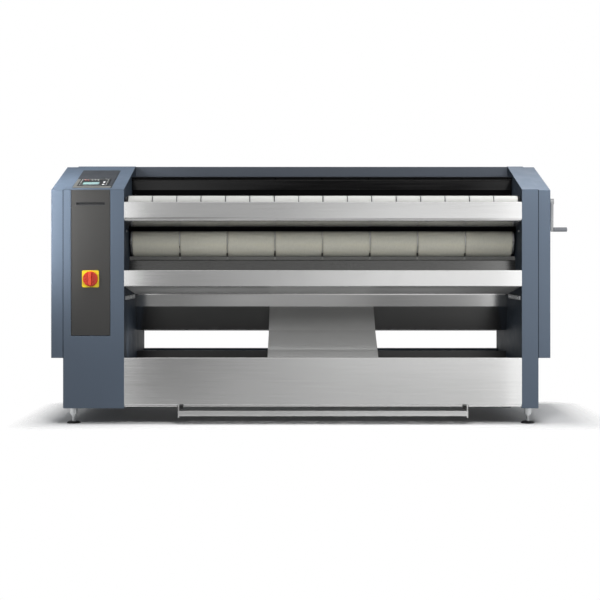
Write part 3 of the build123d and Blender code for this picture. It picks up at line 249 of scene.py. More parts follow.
# ---- finishes ----
def powder_coat(name, colour, roughness=0.46, peel=420.0, edge_wear_highlight=1.35, shine=0.35):
    """Satin powder coat: fine orange peel, faint clouding, and lighter edges, partly wear and partly a painted
    highlight.
    """
    look = Look(name, roughness)
    look.set({"Specular IOR Level": shine})
    base = look.vary(look.range(look.noise(2.2, 4), 0.3, 0.7), colour, 0.95, 1.05)
    base = look.tint(base, look.range(look.noise(1500, 1), 0.35, 0.65), 0.12, shade(colour, 1.35))
    # Lighter edges: partly edge wear, partly a painted highlight along the edges.
    base = look.tint(base, look.edges(0.0016), 0.6, shade(colour, edge_wear_highlight))
    smudge = look.range(look.noise(9, 5, 0.6), 0.35, 0.7, roughness - 0.04, roughness + 0.06)
    return look.finish(base, smudge, look.noise(peel, 2), 0.00012, 0.35)


def brushed_metal(name, colour, roughness=0.2, streak=0.05, anisotropy=0.95, metallic=1.0):
    """Sheet brushed along its width, with soft ripples and handling marks."""
    look = Look(name, roughness, metallic)
    lines = look.range(look.noise(1.0, 4, 0.7, (3.0, 1400.0, 1400.0)), 0.38, 0.62)
    broad = look.range(look.noise(1.0, 3, 0.6, (0.4, 60.0, 60.0)), 0.3, 0.7)
    marks = look.range(look.noise(5, 6, 0.62), 0.52, 0.78)
    base = look.vary(lines, colour, 1 - streak, 1 + streak)
    base = look.tint(base, broad, 0.06, shade(colour, 0.8))
    base = look.tint(base, marks, 0.06, shade(colour, 0.75))
    rough = look.range(lines, 0, 1, roughness - 0.02, roughness + 0.03)
    rough = look.maths("ADD", rough, look.maths("MULTIPLY", marks, 0.04))
    tangent = look.add("ShaderNodeTangent", direction_type="RADIAL", axis="X").outputs["Tangent"]
    look.set({"Anisotropic": anisotropy, "Tangent": tangent})
    ripples = look.bump(look.noise(1.6, 2, 0.4, (0.6, 0.6, 1.2)), 0.0002, 1.0)
    return look.finish(base, rough, lines, 0.00001, 0.2, ripples)


def turned_metal(name, colour, roughness=0.3):
    """Round bar stock, finely scored round its axis."""
    look = Look(name, roughness, 1.0)
    score = look.range(look.noise(1.0, 4, 0.7, (2600.0, 3.0, 3.0)), 0.35, 0.65)
    stain = look.range(look.noise(14, 5, 0.6), 0.4, 0.75, roughness - 0.03, roughness + 0.14)
    return look.finish(look.vary(score, colour, 0.86, 1.08), stain, score, 0.00003, 0.4)


def zinc_plate(name, colour):
    """Bright zinc with a faint crystal pattern and dull fingermarks."""
    look = Look(name, 0.32, 1.0)
    cells = look.add("ShaderNodeTexVoronoi", {"Scale": 160, "Vector": look.place})
    base = look.vary(look.range(cells.outputs["Distance"], 0.0, 0.8), colour, 1.1, 0.82)
    marks = look.range(look.noise(40, 4), 0.3, 0.7, 0.24, 0.46)
    return look.finish(base, marks, look.noise(900, 2), 0.00004, 0.3)


def cast_metal(name, colour):
    """Sand casting: pitted skin, with oil darkening in patches."""
    look = Look(name, 0.6, 0.6)
    oil = look.range(look.noise(11, 4), 0.45, 0.7)
    rough = look.range(oil, 0, 1, 0.66, 0.38)
    return look.finish(look.vary(oil, colour, 1.15, 0.6), rough, look.noise(600, 4, 0.65), 0.0003, 0.6)


def moulded_plastic(name, colour, roughness=0.4, texture=900.0, coat=0.0):
    """Injection moulding with a spark-eroded grain, and lighter edges, partly rubbing wear and partly a painted
    highlight.
    """
    look = Look(name, roughness)
    look.set({"Coat Weight": coat, "Coat Roughness": 0.08})
    base = look.vary(look.range(look.noise(30, 4), 0.3, 0.7), colour, 0.95, 1.05)
    # Lighter edges: partly rubbing wear, partly a painted highlight.
    base = look.tint(base, look.edges(0.0012), 0.35, shade(colour, 1.5))
    rough = look.range(look.noise(60, 5), 0.35, 0.7, roughness - 0.05, roughness + 0.08)
    return look.finish(base, rough, look.noise(texture, 2), 0.00008, 0.35)


def gloss_black(name):
    """Glossy black board with faint wiping marks along its length."""
    look = Look(name, 0.12)
    look.set({"Specular IOR Level": 0.4})
    wipe = look.noise(1.0, 5, 0.6, (2.0, 60.0, 60.0))
    base = look.mix(look.range(wipe, 0.4, 0.7), (0.003, 0.003, 0.0032), (0.006, 0.006, 0.0062))
    return look.finish(base, look.range(wipe, 0.35, 0.75, 0.09, 0.17), look.noise(3, 2), 0.0008, 0.5)


def felt(name, colour):
    """Needled aramid felt: matted fibres, pressed sheen in bands, and darker, browner rims and inner face, partly
    scorching and partly painted shade in the seams between the belts.
    """
    look = Look(name, 0.92)
    look.set({"Sheen Weight": 0.25, "Sheen Roughness": 0.5, "Specular IOR Level": 0.2})
    cloth = look.cloth()
    fibres = look.noise(1.0, 6, 0.75, (900.0, 420.0, 1.0), cloth)
    matting = look.noise(1.0, 4, 0.6, (120.0, 60.0, 1.0), cloth)
    bands = look.noise(1.0, 3, 0.5, (2.0, 26.0, 1.0), cloth)
    base = look.vary(look.range(fibres, 0.3, 0.7), colour, 0.82, 1.14)
    base = look.tint(base, look.range(matting, 0.42, 0.68), 0.28, shade(colour, 0.74))
    base = look.tint(base, look.range(bands, 0.45, 0.7), 0.25,
                     (colour[0] * 1.12, colour[1] * 1.06, colour[2] * 0.86))
    # Darker, browner rims and inner face: partly scorching, partly painted shade in the seams between the belts
    # and on their inner face.
    base = look.tint(base, look.attribute("rim"), 0.55,
                     (colour[0] * 0.55, colour[1] * 0.52, colour[2] * 0.46))
    return look.finish(base, None, fibres, 0.0004, 0.8, look.bump(matting, 0.0009, 0.6))


def webbing(name, colour):
    """Plain woven polyester webbing, ribbed by its warp, slightly soiled where linen lands."""
    look = Look(name, 0.72)
    look.set({"Sheen Weight": 0.12, "Specular IOR Level": 0.35})
    cloth = look.cloth()
    weave = look.maths("MULTIPLY", look.wave(520, "X", cloth), look.wave(430, "Y", cloth))
    soil = look.range(look.noise(1.0, 5, 0.6, (14.0, 4.0, 1.0), cloth), 0.42, 0.75)
    base = look.vary(look.range(weave, 0.0, 0.8), colour, 0.86, 1.04)
    base = look.tint(base, soil, 0.16, shade(colour, 0.7))
    # Darker rims and inner face: painted shade in the seams between the belts and on their inner face.
    base = look.tint(base, look.attribute("rim"), 0.35, shade(colour, 0.55))
    return look.finish(base, None, weave, 0.0003, 0.5)


def rubber(name, colour, shine=0.3):
    """Matt rubber with chalky scuffs."""
    look = Look(name, 0.72)
    look.set({"Specular IOR Level": shine})
    scuff = look.range(look.noise(70, 6, 0.7), 0.5, 0.75)
    base = look.mix(look.maths("MULTIPLY", scuff, 0.35), colour, shade(colour, 3.2))
    return look.finish(base, look.range(scuff, 0, 1, 0.66, 0.85), look.noise(1100, 3), 0.0001, 0.5)


def finger_steel(name):
    """Spring steel fingers, light grey at the foot and darkened towards the tips: painted shade where they reach
    up into the gaps between the belts.
    """
    look = Look(name, 0.4, 0.5)
    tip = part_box("stripper_fingers")[1].z
    # Darker towards the tips: painted shade where the fingers reach into the gaps between the belts.
    tip_shade = look.range(look.along("Z"), *[tip - length for length in tip_shade_length])
    clean = look.mix(look.range(look.noise(220, 4), 0.3, 0.7), (0.20, 0.20, 0.19), (0.28, 0.28, 0.27))
    base = look.mix(tip_shade, clean, (0.045, 0.044, 0.038))
    return look.finish(base, None, look.noise(900, 2), 0.00005, 0.3)


def lit_display(name):
    """Backlit display under a clear window, brighter to one side, with its fine dot raster."""
    look = Look(name, 0.12)
    low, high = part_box("display_lens")
    glow = look.range(look.along("X"), low.x, high.x)
    colour = look.mix(glow, (0.34, 0.58, 0.52), (0.48, 0.66, 0.70))
    dots = look.maths("MULTIPLY", look.wave(900, "X"), look.wave(900, "Y"))
    colour = look.mix(look.range(dots, 0.0, 0.4), (0.32, 0.50, 0.50), colour)
    look.set({"Base Color": colour, "Emission Color": colour, "Emission Strength": 0.12,
              "Coat Weight": 0.8, "Coat Roughness": 0.04})
    return look.material


# Colours are linear, as written for the finishes that the photograph shows.
slate = (0.096, 0.126, 0.170)
graphite = (0.062, 0.061, 0.059)
steel = (0.84, 0.84, 0.835)
finishes = {
    "slate_paint": powder_coat("Slate_powder_coat", slate, shine=0.5),
    "back_paint": powder_coat("Back_powder_coat", shade(slate, 0.75), 0.5),
    "plate_steel": powder_coat("Primed_plate", (0.055, 0.060, 0.070), 0.55, 260.0),
    "inlay_paint": powder_coat("Graphite_inlay", graphite, 0.46, 700.0, 1.6, 0.2),
    "guard_black": gloss_black("Gloss_black_board"),
    "dark_sheet": powder_coat("Matt_black_sheet", (0.002, 0.002, 0.0022), 0.6, shine=0.05),
    "stainless": brushed_metal("Brushed_stainless", steel),
    "mill_steel": brushed_metal("Mill_finish_steel", (0.40, 0.40, 0.395), 0.30, 0.06, 0.7, metallic=0.85),
    "zinc": zinc_plate("Zinc_plating", (0.60, 0.61, 0.62)),
    "foot_bar_steel": brushed_metal("Foot_bar_steel", (0.66, 0.66, 0.655), 0.3),
    "bracket_black": powder_coat("Bracket_black", (0.012, 0.012, 0.012), 0.5),
    "yellow_plate": moulded_plastic("Yellow_plate", (0.85, 0.62, 0.02), 0.38),
    "red_knob": moulded_plastic("Red_knob", (0.80, 0.075, 0.03), 0.3, 500.0, 0.15),
    "bezel_plastic": moulded_plastic("Bezel_plastic", (0.012, 0.013, 0.014), 0.45),
    "display_glass": lit_display("Lit_display"),
    "key_white": moulded_plastic("White_keys", (0.80, 0.81, 0.83), 0.4),
    "key_red": moulded_plastic("Red_keys", (0.66, 0.16, 0.15), 0.4),
    "key_grey": moulded_plastic("Grey_keys", (0.60, 0.62, 0.61), 0.4),
    "belt_felt": felt("Belt_felt", (0.58, 0.57, 0.495)),
    "feed_web": webbing("Feed_webbing", (0.54, 0.54, 0.52)),
    "drive_rubber": rubber("Drive_rubber", (0.012, 0.012, 0.012)),
    "polished_cylinder": turned_metal("Ground_cylinder", (0.70, 0.70, 0.69), 0.18),
    "cast": cast_metal("Cast_iron", (0.06, 0.065, 0.07)),
    "roller_steel": turned_metal("Turned_rollers", (0.56, 0.56, 0.57)),
    "heater_steel": turned_metal("Heat_tinted_steel", (0.30, 0.24, 0.20), 0.42),
    "motor_paint": powder_coat("Motor_enamel", (0.10, 0.115, 0.14), 0.45, 200.0),
    "duct_metal": zinc_plate("Galvanised_duct", (0.55, 0.56, 0.57)),
    "fan_plastic": moulded_plastic("Fan_plastic", (0.02, 0.02, 0.022), 0.5),
    "gear_plastic": moulded_plastic("Control_gear_plastic", (0.10, 0.105, 0.11), 0.45),
    "crank_steel": turned_metal("Plated_crank", (0.40, 0.41, 0.42), 0.3),
    "grip_metal": turned_metal("Turned_grip", (0.22, 0.23, 0.25), 0.3),
}
pad_rubber = rubber("Foot_pad_rubber", (0.010, 0.010, 0.011))
# Near-black for the strip in the gap beside the control plate: painted shade.
gap_shade = powder_coat("Gap_painted_shade", (0.02, 0.02, 0.021), 0.5)
cup_grey = moulded_plastic("Cup_plastic", (0.045, 0.046, 0.048), 0.5)
# Darker red for the knob's disc round its grip: painted shade.
knob_disc_shade = moulded_plastic("Knob_disc_painted_shade", (0.54, 0.028, 0.008), 0.3, 500.0, 0.15)
key_body = moulded_plastic("Key_bodies", (0.022, 0.024, 0.026), 0.42)
# Light metal for the strip along the control plate's margins: painted highlight.
margin_highlight_metal = brushed_metal("Margin_painted_highlight", (0.42, 0.42, 0.40), 0.4)
border_grey = moulded_plastic("Keypad_border", (0.36, 0.37, 0.36), 0.4)
# Near-black rubber for strips that stand in for shade in seams and under edges: painted shade.
shade_rubber = rubber("Rubber_painted_shade", (0.0016, 0.0016, 0.0018), 0.03)
trough_underside = brushed_metal("Trough_underside", (0.60, 0.60, 0.595), 0.3, metallic=0.45)
# Darkened copy of the slate for the columns' inner walls: painted shade.
inner_wall_shade = powder_coat("Inner_wall_painted_shade", shade(slate, 0.3), 0.55, shine=0.06)
slide_lip_paint = powder_coat("Slide_lip_paint", (0.116, 0.116, 0.112), 0.5, 600.0, shine=0.15)
node_finishes = {
    "stripper_fingers": finger_steel("Finger_steel"),
    "feed_nose_roller": turned_metal("Dark_nose_roller", (0.05, 0.05, 0.052), 0.5),
    "top_beam": powder_coat("Beam_powder_coat", (0.062, 0.072, 0.088), shine=0.2),
    "control_plate": powder_coat("Control_plate_grey", (0.042, 0.046, 0.052), 0.46, 700.0, 1.6, 0.2),
    "rear_cowl": brushed_metal("Cowl_steel", (0.60, 0.60, 0.595), 0.15, 0.04, 0.6),
    "centre_chute": brushed_metal("Chute_steel", (0.46, 0.46, 0.455), 0.34, 0.04, 0.6, metallic=0.6),
    # The tray takes a darkened copy of the steel: painted shade under the trough.
    "collecting_tray": brushed_metal("Tray_steel_painted_shade", (0.11, 0.11, 0.11), 0.34, 0.06, 0.6),
    # The slide takes a darkened copy of the steel: painted reflection of the dark apron underside and belts above
    # it.
    "exit_slide": brushed_metal("Slide_steel_painted_reflection", (0.16, 0.16, 0.157), 0.26, 0.02, 0.8),
}


def paint_faces(name, material, passes):
    """A second finish on the faces of a node that pass a test."""
    mesh = nodes[name].data
    mesh.materials.append(material)
    for face in mesh.polygons:
        if passes(face):
            face.material_index = 1


def dress_nodes():
    """Every carried-over node takes the finish of its material slot, and some faces have their own."""
    for name, node in nodes.items():
        node.data.materials.clear()
        node.data.materials.append(node_finishes.get(name) or finishes[slot_of[name]])
    # The inner walls of the columns take the darkened slate: painted shade in the recess between the columns.
    for name, side in (("left_column_shell", 1), ("right_column_shell", 0)):
        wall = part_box(name)[side].x
        paint_faces(name, inner_wall_shade, lambda face: abs(face.normal.x) > 0.99
                    and abs(face.center.x - wall) < inner_wall_depth)
    paint_faces("exit_trough", trough_underside, lambda face: face.normal.z < -0.9)
    # The knob's disc round the grip takes a darker red: painted shade in the recess beside the raised grip.
    grip_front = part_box("switch_knob")[0].y + grip_face_depth
    paint_faces("switch_knob", knob_disc_shade, lambda face: face.center.y > grip_front)
    vertices = nodes["levelling_feet"].data.vertices
    pad_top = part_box("levelling_feet")[0].z + pad_height
    paint_faces("levelling_feet", pad_rubber,
                lambda face: max(vertices[v].co.z for v in face.vertices) < pad_top)


def ease_edges(names, width):
    """Rounds the sharp edges of a node as a real bend or broken edge is."""
    for name in names:
        put(nodes[name].modifiers.new("Weld", "WELD"), merge_threshold=0.00001)
        put(nodes[name].modifiers.new("Eased_edges", "BEVEL"), width=width, segments=2, limit_method="ANGLE",
            angle_limit=math.radians(40), use_clamp_overlap=False, harden_normals=True)


# ---- mesh helpers ----
def circle(count):
    """Cosine and sine of a full turn's equal steps."""
    return [(math.cos(2 * math.pi * k / count), math.sin(2 * math.pi * k / count)) for k in range(count)]


def add_object(name, data, **settings):
    thing = put(bpy.data.objects.new(name, data), **settings)
    bpy.context.scene.collection.objects.link(thing)
    return thing


def add_mesh(name, points, faces, material, smooth=True):
    mesh = bpy.data.meshes.new(name)
    mesh.from_pydata([tuple(point) for point in points], [], faces)
    mesh.materials.append(material)
    for polygon in mesh.polygons:
        polygon.use_smooth = smooth
    mesh.validate()
    mesh.update()
    return add_object(name, mesh)


def fit(name, shape, material, body="root"):
    """A flat-faced fitting that rides on a body."""
    piece = add_mesh(name, *shape, material, smooth=False)
    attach(piece, body)


def wheel(node, lift, turn=-1):
    """Centre, radius and turn of a round piece under a belt: -1 inside its loop, 1 outside."""
    low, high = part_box(node)
    return (low.y + high.y) / 2, (low.z + high.z) / 2, (high.z - low.z) / 2 + lift, turn


def belt_line(wheels, arc_step, run_step):
    """Points (y, z), outward normals, distances and wheel shares along a closed belt's inner face."""
    arrivals, departures, headings = [], [], []
    for first, second in zip(wheels, wheels[1:] + wheels[:1]):
        dy, dz = second[0] - first[0], second[1] - first[1]
        lean = math.asin((first[3] * first[2] - second[3] * second[2]) / math.hypot(dy, dz))
        heading = math.atan2(dz, dy) + lean
        normal = (math.sin(heading), -math.cos(heading))
        headings.append(heading)
        departures.append([first[k] + first[3] * first[2] * normal[k] for k in (0, 1)])
        arrivals.append([second[k] + second[3] * second[2] * normal[k] for k in (0, 1)])
    arrivals = arrivals[-1:] + arrivals[:-1]
    line = []
    for k, (y, z, radius, turn) in enumerate(wheels):
        start = math.atan2(arrivals[k][1] - z, arrivals[k][0] - y)
        end = math.atan2(departures[k][1] - z, departures[k][0] - y)
        sweep = (turn * (end - start)) % (2 * math.pi)
        steps = max(2, math.ceil(sweep * radius / arc_step))
        for step in range(steps):
            angle = start + turn * sweep * step / steps
            radial = (math.cos(angle), math.sin(angle))
            line.append(((y + radius * radial[0], z + radius * radial[1]),
                         (-turn * radial[0], -turn * radial[1]), k, step / steps))
        begin, finish = departures[k], arrivals[(k + 1) % len(wheels)]
        normal = (-math.sin(headings[k]), math.cos(headings[k]))
        steps = max(1, math.ceil(math.dist(begin, finish) / run_step))
        for step in range(steps):
            share = step / steps
            line.append((tuple(begin[j] + share * (finish[j] - begin[j]) for j in (0, 1)), normal, -1, share))
    distances = [0.0]
    for before, after in zip(line, line[1:] + line[:1]):
        distances.append(distances[-1] + math.dist(before[0], after[0]))
    return line, distances


def sweep_belt(name, line, distances, profile, middle, material, wander=0.0, curl=0.0, seed=0.0):
    """A closed belt: the profile's points (across, up, rim) carried along the line, with a drifting edge."""
    outlines, uvs, rims = [], [], []
    count = len(profile)
    half = max(across for across, _, _ in profile)
    for ((y, z), (ny, nz), wheel_index, share), distance in zip(line, distances):
        turn = distance / distances[-1] * 2 * math.pi
        drift = wander * noise.noise(Vector((math.cos(turn) * 4, math.sin(turn) * 4, seed)))
        lifted = curl * math.sin(math.pi * share) ** 2 if wheel_index == felt_curl_wheel else 0.0
        outline = []
        for across, up, rim in profile:
            side = math.copysign(1.0, across)
            ragged = noise.noise(Vector((math.cos(turn) * 22, math.sin(turn) * 22, seed + 3 * side)))
            edge = (abs(across) / half) ** 10
            rise = up + lifted * edge * (0.6 + ragged)
            shift = drift + 0.35 * wander * ragged * edge
            outline.append((middle + across + shift, y + ny * rise, z + nz * rise))
            uvs.append((across, distance))
            rims.append(rim)
        outlines.append(outline)
    piece = add_mesh(name, *ring_loft(outlines), material)
    mesh = piece.data
    layer = mesh.uv_layers.new(name="Cloth")
    for polygon in mesh.polygons:
        wraps = max(polygon.vertices) - min(polygon.vertices) > count * 2
        for loop in polygon.loop_indices:
            vertex = mesh.loops[loop].vertex_index
            across, distance = uvs[vertex]
            layer.data[loop].uv = (across, distance + (distances[-1] if wraps and vertex < count else 0.0))
    mesh.attributes.new("rim", "FLOAT", "POINT").data.foreach_set("value", rims)
    return piece


def flat_profile(width, thickness, columns):
    """Rounded section of a flat belt, with extra points near its rims."""
    half, ease = width / 2, thickness * 0.3
    # The third value of each point masks the belt finishes' darker rims and inner face: painted shade in the
    # seams, and on the felt partly scorching.
    inner = [(-half + ease, 0.0, 0.5), (half - ease, 0.0, 0.5), (half, ease, 1.0)]
    top = [(half, thickness - ease, 1.0), (half - ease, thickness, 0.75)]
    for k in range(1, columns):
        share = math.cos(math.pi * k / columns)
        top.append((share * (half - 2 * ease), thickness, max(0.0, abs(share) * 26 - 25.2)))
    top.append((-half + ease, thickness, 0.75))
    return inner + top + [(-half, thickness - ease, 1.0), (-half, ease, 1.0)]


# ---- belts ----
def lay_belts(name, slot, wheels, steps, row, profile, wander, curl, seeds):
    """A row of cloth belts, held tight round their rollers, in the place of one CAD solid."""
    line, distances = belt_line(wheels, *steps)
    low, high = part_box(name + "s")
    count, width, pitch = row
    first = (low.x + high.x) / 2 - (count - 1) * pitch / 2
    for k in range(count):
        belt = sweep_belt("%s_%d" % (name, k + 1), line, distances, profile, first + k * pitch,
                          finishes[slot], wander, curl, seeds[0] + seeds[1] * k)
        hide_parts(name + "s")
        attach(belt, "root")


def make_ironing_belts():
    """Eight felt belts round the four rollers, pressed on the cylinder."""
    rollers = ["top_front_roller", "top_rear_roller", "bottom_rear_roller", "front_belt_roller"]
    wheels = [wheel(roller, felt_clearance) for roller in rollers]
    wheels.append(wheel("heated_cylinder", felt_clearance + felt_thickness, 1))
    lay_belts("ironing_belt", "belt_felt", wheels, felt_steps, (felt_count, felt_width, felt_pitch),
              flat_profile(felt_width, felt_thickness, felt_columns), felt_wander, felt_curl, felt_seeds)


def make_feed_belts():
    """Sixteen woven feed belts round the nose roller and the rear feed roller."""
    rollers = ["feed_nose_roller", "feed_rear_roller"]
    wheels = [wheel(roller, felt_clearance) for roller in rollers]
    lay_belts("feed_belt", "feed_web", wheels, web_steps, (web_count, web_width, web_pitch),
              flat_profile(web_width, web_thickness, web_columns), web_wander, 0.0, web_seeds)


def make_drive_belt():
    """Cogged V-belt from the motor pulley to the cylinder pulley."""
    low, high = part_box("drive_belt")
    motor = wheel("motor_pulley", felt_clearance)
    shaft_y, shaft_z, _, _ = wheel("heated_cylinder", 0)
    cylinder_radius = high.z - shaft_z - drive_thickness
    pulley = (shaft_y, shaft_z, cylinder_radius, -1)
    line, distances = belt_line([motor, pulley], drive_cog / 4, drive_cog / 4)
    half, foot = drive_width / 2, drive_width / 2 - drive_taper
    profile = [(-foot, 0.0, 0), (foot, 0.0, 0), (half, drive_thickness, 0), (-half, drive_thickness, 0)]
    belt = sweep_belt("drive_belt_cogged", line, distances, profile, (low.x + high.x) / 2,
                      finishes["drive_rubber"])
    notch = drive_thickness * drive_notch
    for ring in range(len(line)):
        if ring % 4 in (2, 3):
            (y, z), (ny, nz), _, _ = line[ring]
            for k in (0, 1):
                vertex = belt.data.vertices[ring * len(profile) + k]
                vertex.co.y, vertex.co.z = y + ny * notch, z + nz * notch
    for polygon in belt.data.polygons:
        polygon.use_smooth = False
    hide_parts("drive_belt")
    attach(belt, "root")


# ---- shapes for the fittings ----
def loft(outlines):
    """Points and faces of a closed solid through outlines of equal length, with flat ends."""
    points = [point for outline in outlines for point in outline]
    count = len(outlines[0])
    faces = [tuple(reversed(range(count))), tuple((len(outlines) - 1) * count + k for k in range(count))]
    for layer in range(len(outlines) - 1):
        for k in range(count):
            other = (k + 1) % count
            faces.append((layer * count + k, layer * count + other,
                          (layer + 1) * count + other, (layer + 1) * count + k))
    return points, faces


def ring_loft(outlines):
    """As loft, but the last outline joins the first."""
    points, faces = loft(outlines + outlines[:1])
    total = len(outlines) * len(outlines[0])
    return points[:total], [tuple(k % total for k in face) for face in faces[2:]]


def merged(shapes):
    """The points and faces of several shapes as one."""
    points, faces = [], []
    for more_points, more_faces in shapes:
        faces += [tuple(len(points) + k for k in face) for face in more_faces]
        points += more_points
    return points, faces


def bar(outline, left, right):
    """A straight bar along X, with an outline of (y, z) points."""
    return loft([[(x, y, z) for y, z in outline] for x in (left, right)])


def laid(plane, layers):
    """Outlines at their levels above a plane."""
    return [[plane @ Vector((x, y, level)) for x, y in outline] for outline, level in layers]


def left_steps(corners):
    """The mitred step to the left of every corner of a closed outline."""
    steps = []
    for k in range(len(corners)):
        before, here, after = (Vector(corners[j % len(corners)]) for j in (k - 1, k, k + 1))
        edges = ((here - before).normalized(), (after - here).normalized())
        step = sum((Vector((-edge.y, edge.x)) for edge in edges), Vector((0, 0)))
        steps.append(step / (1 + edges[0].dot(edges[1])))
    return steps


def slab(plane, corners, low, high):
    """Flat piece on a plane, its upper edge eased; the corners turn anticlockwise."""
    ease = (high - low) * 0.4
    inner = [Vector(corner) + step * ease for corner, step in zip(corners, left_steps(corners))]
    return loft(laid(plane, [(corners, low), (corners, high - ease), (inner, high)]))


def rounded_rectangle(half_x, half_y, radius, segments=5):
    outline = []
    for quarter in range(4):
        centre_x = (half_x - radius) * (1 if quarter in (0, 3) else -1)
        centre_y = (half_y - radius) * (1 if quarter in (0, 1) else -1)
        for k in range(segments + 1):
            angle = math.pi / 2 * (quarter + k / segments)
            outline.append((centre_x + radius * math.cos(angle), centre_y + radius * math.sin(angle)))
    return outline


def screw_head(place):
    """Button head with a hexagon socket, on a matrix whose Z leaves the surface."""
    outlines = []
    for size, level, hexagonal in ((1.0, 0.0, 0), (1.0, 0.35, 0), (0.86, 0.78, 0), (0.62, 1.0, 0),
                                   (0.40, 1.0, 1), (0.38, 0.45, 1)):
        outline = []
        for k, (x, y) in enumerate(circle(24)):
            reach = screw_radius * size
            if hexagonal:
                reach *= math.cos(math.pi / 6) / math.cos(math.pi * (k % 4 - 2) / 12)
            outline.append(place @ Vector((reach * x, reach * y, screw_height * level)))
        outlines.append(outline)
    return loft(outlines)


def thread(x, y, bottom, top):
    """Screw thread round an upright stem."""
    around = 20
    steps = int((top - bottom) / thread_pitch * around)
    outlines = []
    for step in range(steps + 1):
        angle = 2 * math.pi * step / around
        z = bottom + thread_pitch * step / around
        fade = min(1.0, step / around, (steps - step) / around)
        outline = []
        for rise, dz in ((-thread_root, -0.45), (thread_depth * fade, 0.0), (-thread_root, 0.45)):
            reach = stem_radius + rise
            outline.append((x + reach * math.cos(angle), y + reach * math.sin(angle),
                            z + dz * thread_pitch))
        outlines.append(outline)
    return loft(outlines)


def facing(position, direction):
    """Matrix at a position whose Z points along a direction."""
    return Matrix.Translation(position) @ Vector(direction).to_track_quat("Z", "Y").to_matrix().to_4x4()


def spaced(start, end, count):
    return [start + (end - start) * k / (count - 1) for k in range(count)]


def make_screws():
    """Button-head screws that hold the rear panel, the hood and the columns' back faces."""
    panel_low, panel_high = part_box("rear_panels")
    hood_low, hood_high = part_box("top_hood")
    back, rearward = panel_high.y, (0, 1, 0)
    places = []
    for z in spaced(panel_screw_low, hood_low.z - 0.03, 6):
        for x in (panel_low.x + screw_margin, panel_high.x - screw_margin):
            places.append(facing((x, back, z), rearward))
    for x in spaced(panel_low.x + 0.12, panel_high.x - 0.12, 7):
        places.append(facing((x, back, hood_low.z - screw_margin), rearward))
    for x in spaced(hood_low.x + 0.05, hood_high.x - 0.05, 9):
        places.append(facing((x, hood_low.y + 0.012, hood_high.z), (0, 0, 1)))
        places.append(facing((x, hood_high.y, (hood_low.z + hood_high.z) / 2), rearward))
    for name in ("left_column_shell", "right_column_shell"):
        low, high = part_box(name)
        for z in spaced(*column_screws, 6):
            for x in (low.x + 0.016, high.x - 0.016):
                places.append(facing((x, back, z), rearward))
    fit("panel_screws", merged(screw_head(place) for place in places), finishes["zinc"])


def make_threads():
    """Screw thread on the exposed stretch of each levelling stem."""
    floor_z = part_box("levelling_feet")[0].z
    spots = [mount["pos_m"] for mount in frame["record"]["mounts"] if mount["name"].endswith("_foot")]
    threads = merged(thread(x, y, floor_z + thread_span[0], floor_z + thread_span[1]) for x, y, _ in spots)
    fit("stem_threads", threads, finishes["zinc"])


# ---- trim ----
def slope_plane():
    """Matrix of the control plate's face, with X across, Y up the slope and Z out, and half its sizes."""
    key = [joint for joint in frame["joints"] if joint["name"] == "large_key_1_press"][0]
    out = -Vector(key["axis"]).normalized()
    across = Vector((1, 0, 0))
    plane = Matrix((across, out.cross(across), out)).transposed().to_4x4()
    return outer_face("control_plate", plane)


def extent(node, plane):
    """Lowest and highest corners of a node in a plane's own directions."""
    back = plane.inverted()
    spots = [back @ vertex.co for vertex in nodes[node].data.vertices]
    return (Vector(min(spot[k] for spot in spots) for k in range(3)),
            Vector(max(spot[k] for spot in spots) for k in range(3)))


def outer_face(node, plane):
    """Matrix at the middle of a node's outer face on the slope, and half of the node's sizes."""
    low, high = extent(node, plane)
    spot = plane @ Vector(((low.x + high.x) / 2, (low.y + high.y) / 2, high.z))
    return Matrix.Translation(spot - plane.translation) @ plane, (high - low) / 2


def make_keypad_trim():
    """Light strip on the left and front margins as a painted highlight, a dark strip in the gap on the right as
    painted shade, and the keypad's border line.
    """
    plane, half = slope_plane()
    low, high = extent("keypad_bezel", plane)
    left, right, front = -half.x + strip_margin, half.x - strip_margin, -half.y + strip_margin
    inner_left, inner_front = low.x - strip_margin, low.y - strip_margin
    corners = [(left, front), (right, front), (right, inner_front), (inner_left, inner_front),
               (inner_left, high.y), (left, high.y)]
    # Light strip on the margins: painted highlight.
    fit("control_highlight_strip", slab(plane, corners, 0.0, strip_rise), margin_highlight_metal)
    edge, bottom = half.x + gap_width, -half.z * 2
    corners = [(half.x, -half.y), (edge, -half.y), (edge, half.y), (half.x, half.y)]
    # Dark strip in the gap on the plate's right: painted shade.
    fit("control_shadow_gap", slab(plane, corners, bottom, bottom + strip_rise), gap_shade)
    middle, size = outer_face("keypad_bezel", plane)
    outer, inner = [rounded_rectangle(size.x - inset, size.y - inset, border_corner)
                    for inset in (border_inset, border_inset + border_width)]
    rings = laid(middle, [(outer, 0.0), (outer, border_rise), (inner, border_rise), (inner, 0.0)])
    fit("keypad_border", ring_loft(rings), border_grey)


def make_key_dots():
    """A raised dot of its key's colour on every dark key."""
    plane, _ = slope_plane()
    for name in [name for name in nodes if "_key_" in name]:
        middle, size = outer_face(name, plane)
        foot, top = [[(size.x * share * x, size.y * share * y) for x, y in circle(24)]
                     for share in (dot_share, dot_share * 0.8)]
        dot = loft(laid(middle, [(foot, 0.0), (foot, dot_rise * 0.6), (top, dot_rise)]))
        fit(name + "_dot", dot, nodes[name].data.materials[0], name + "_cap")
        nodes[name].data.materials[0] = key_body


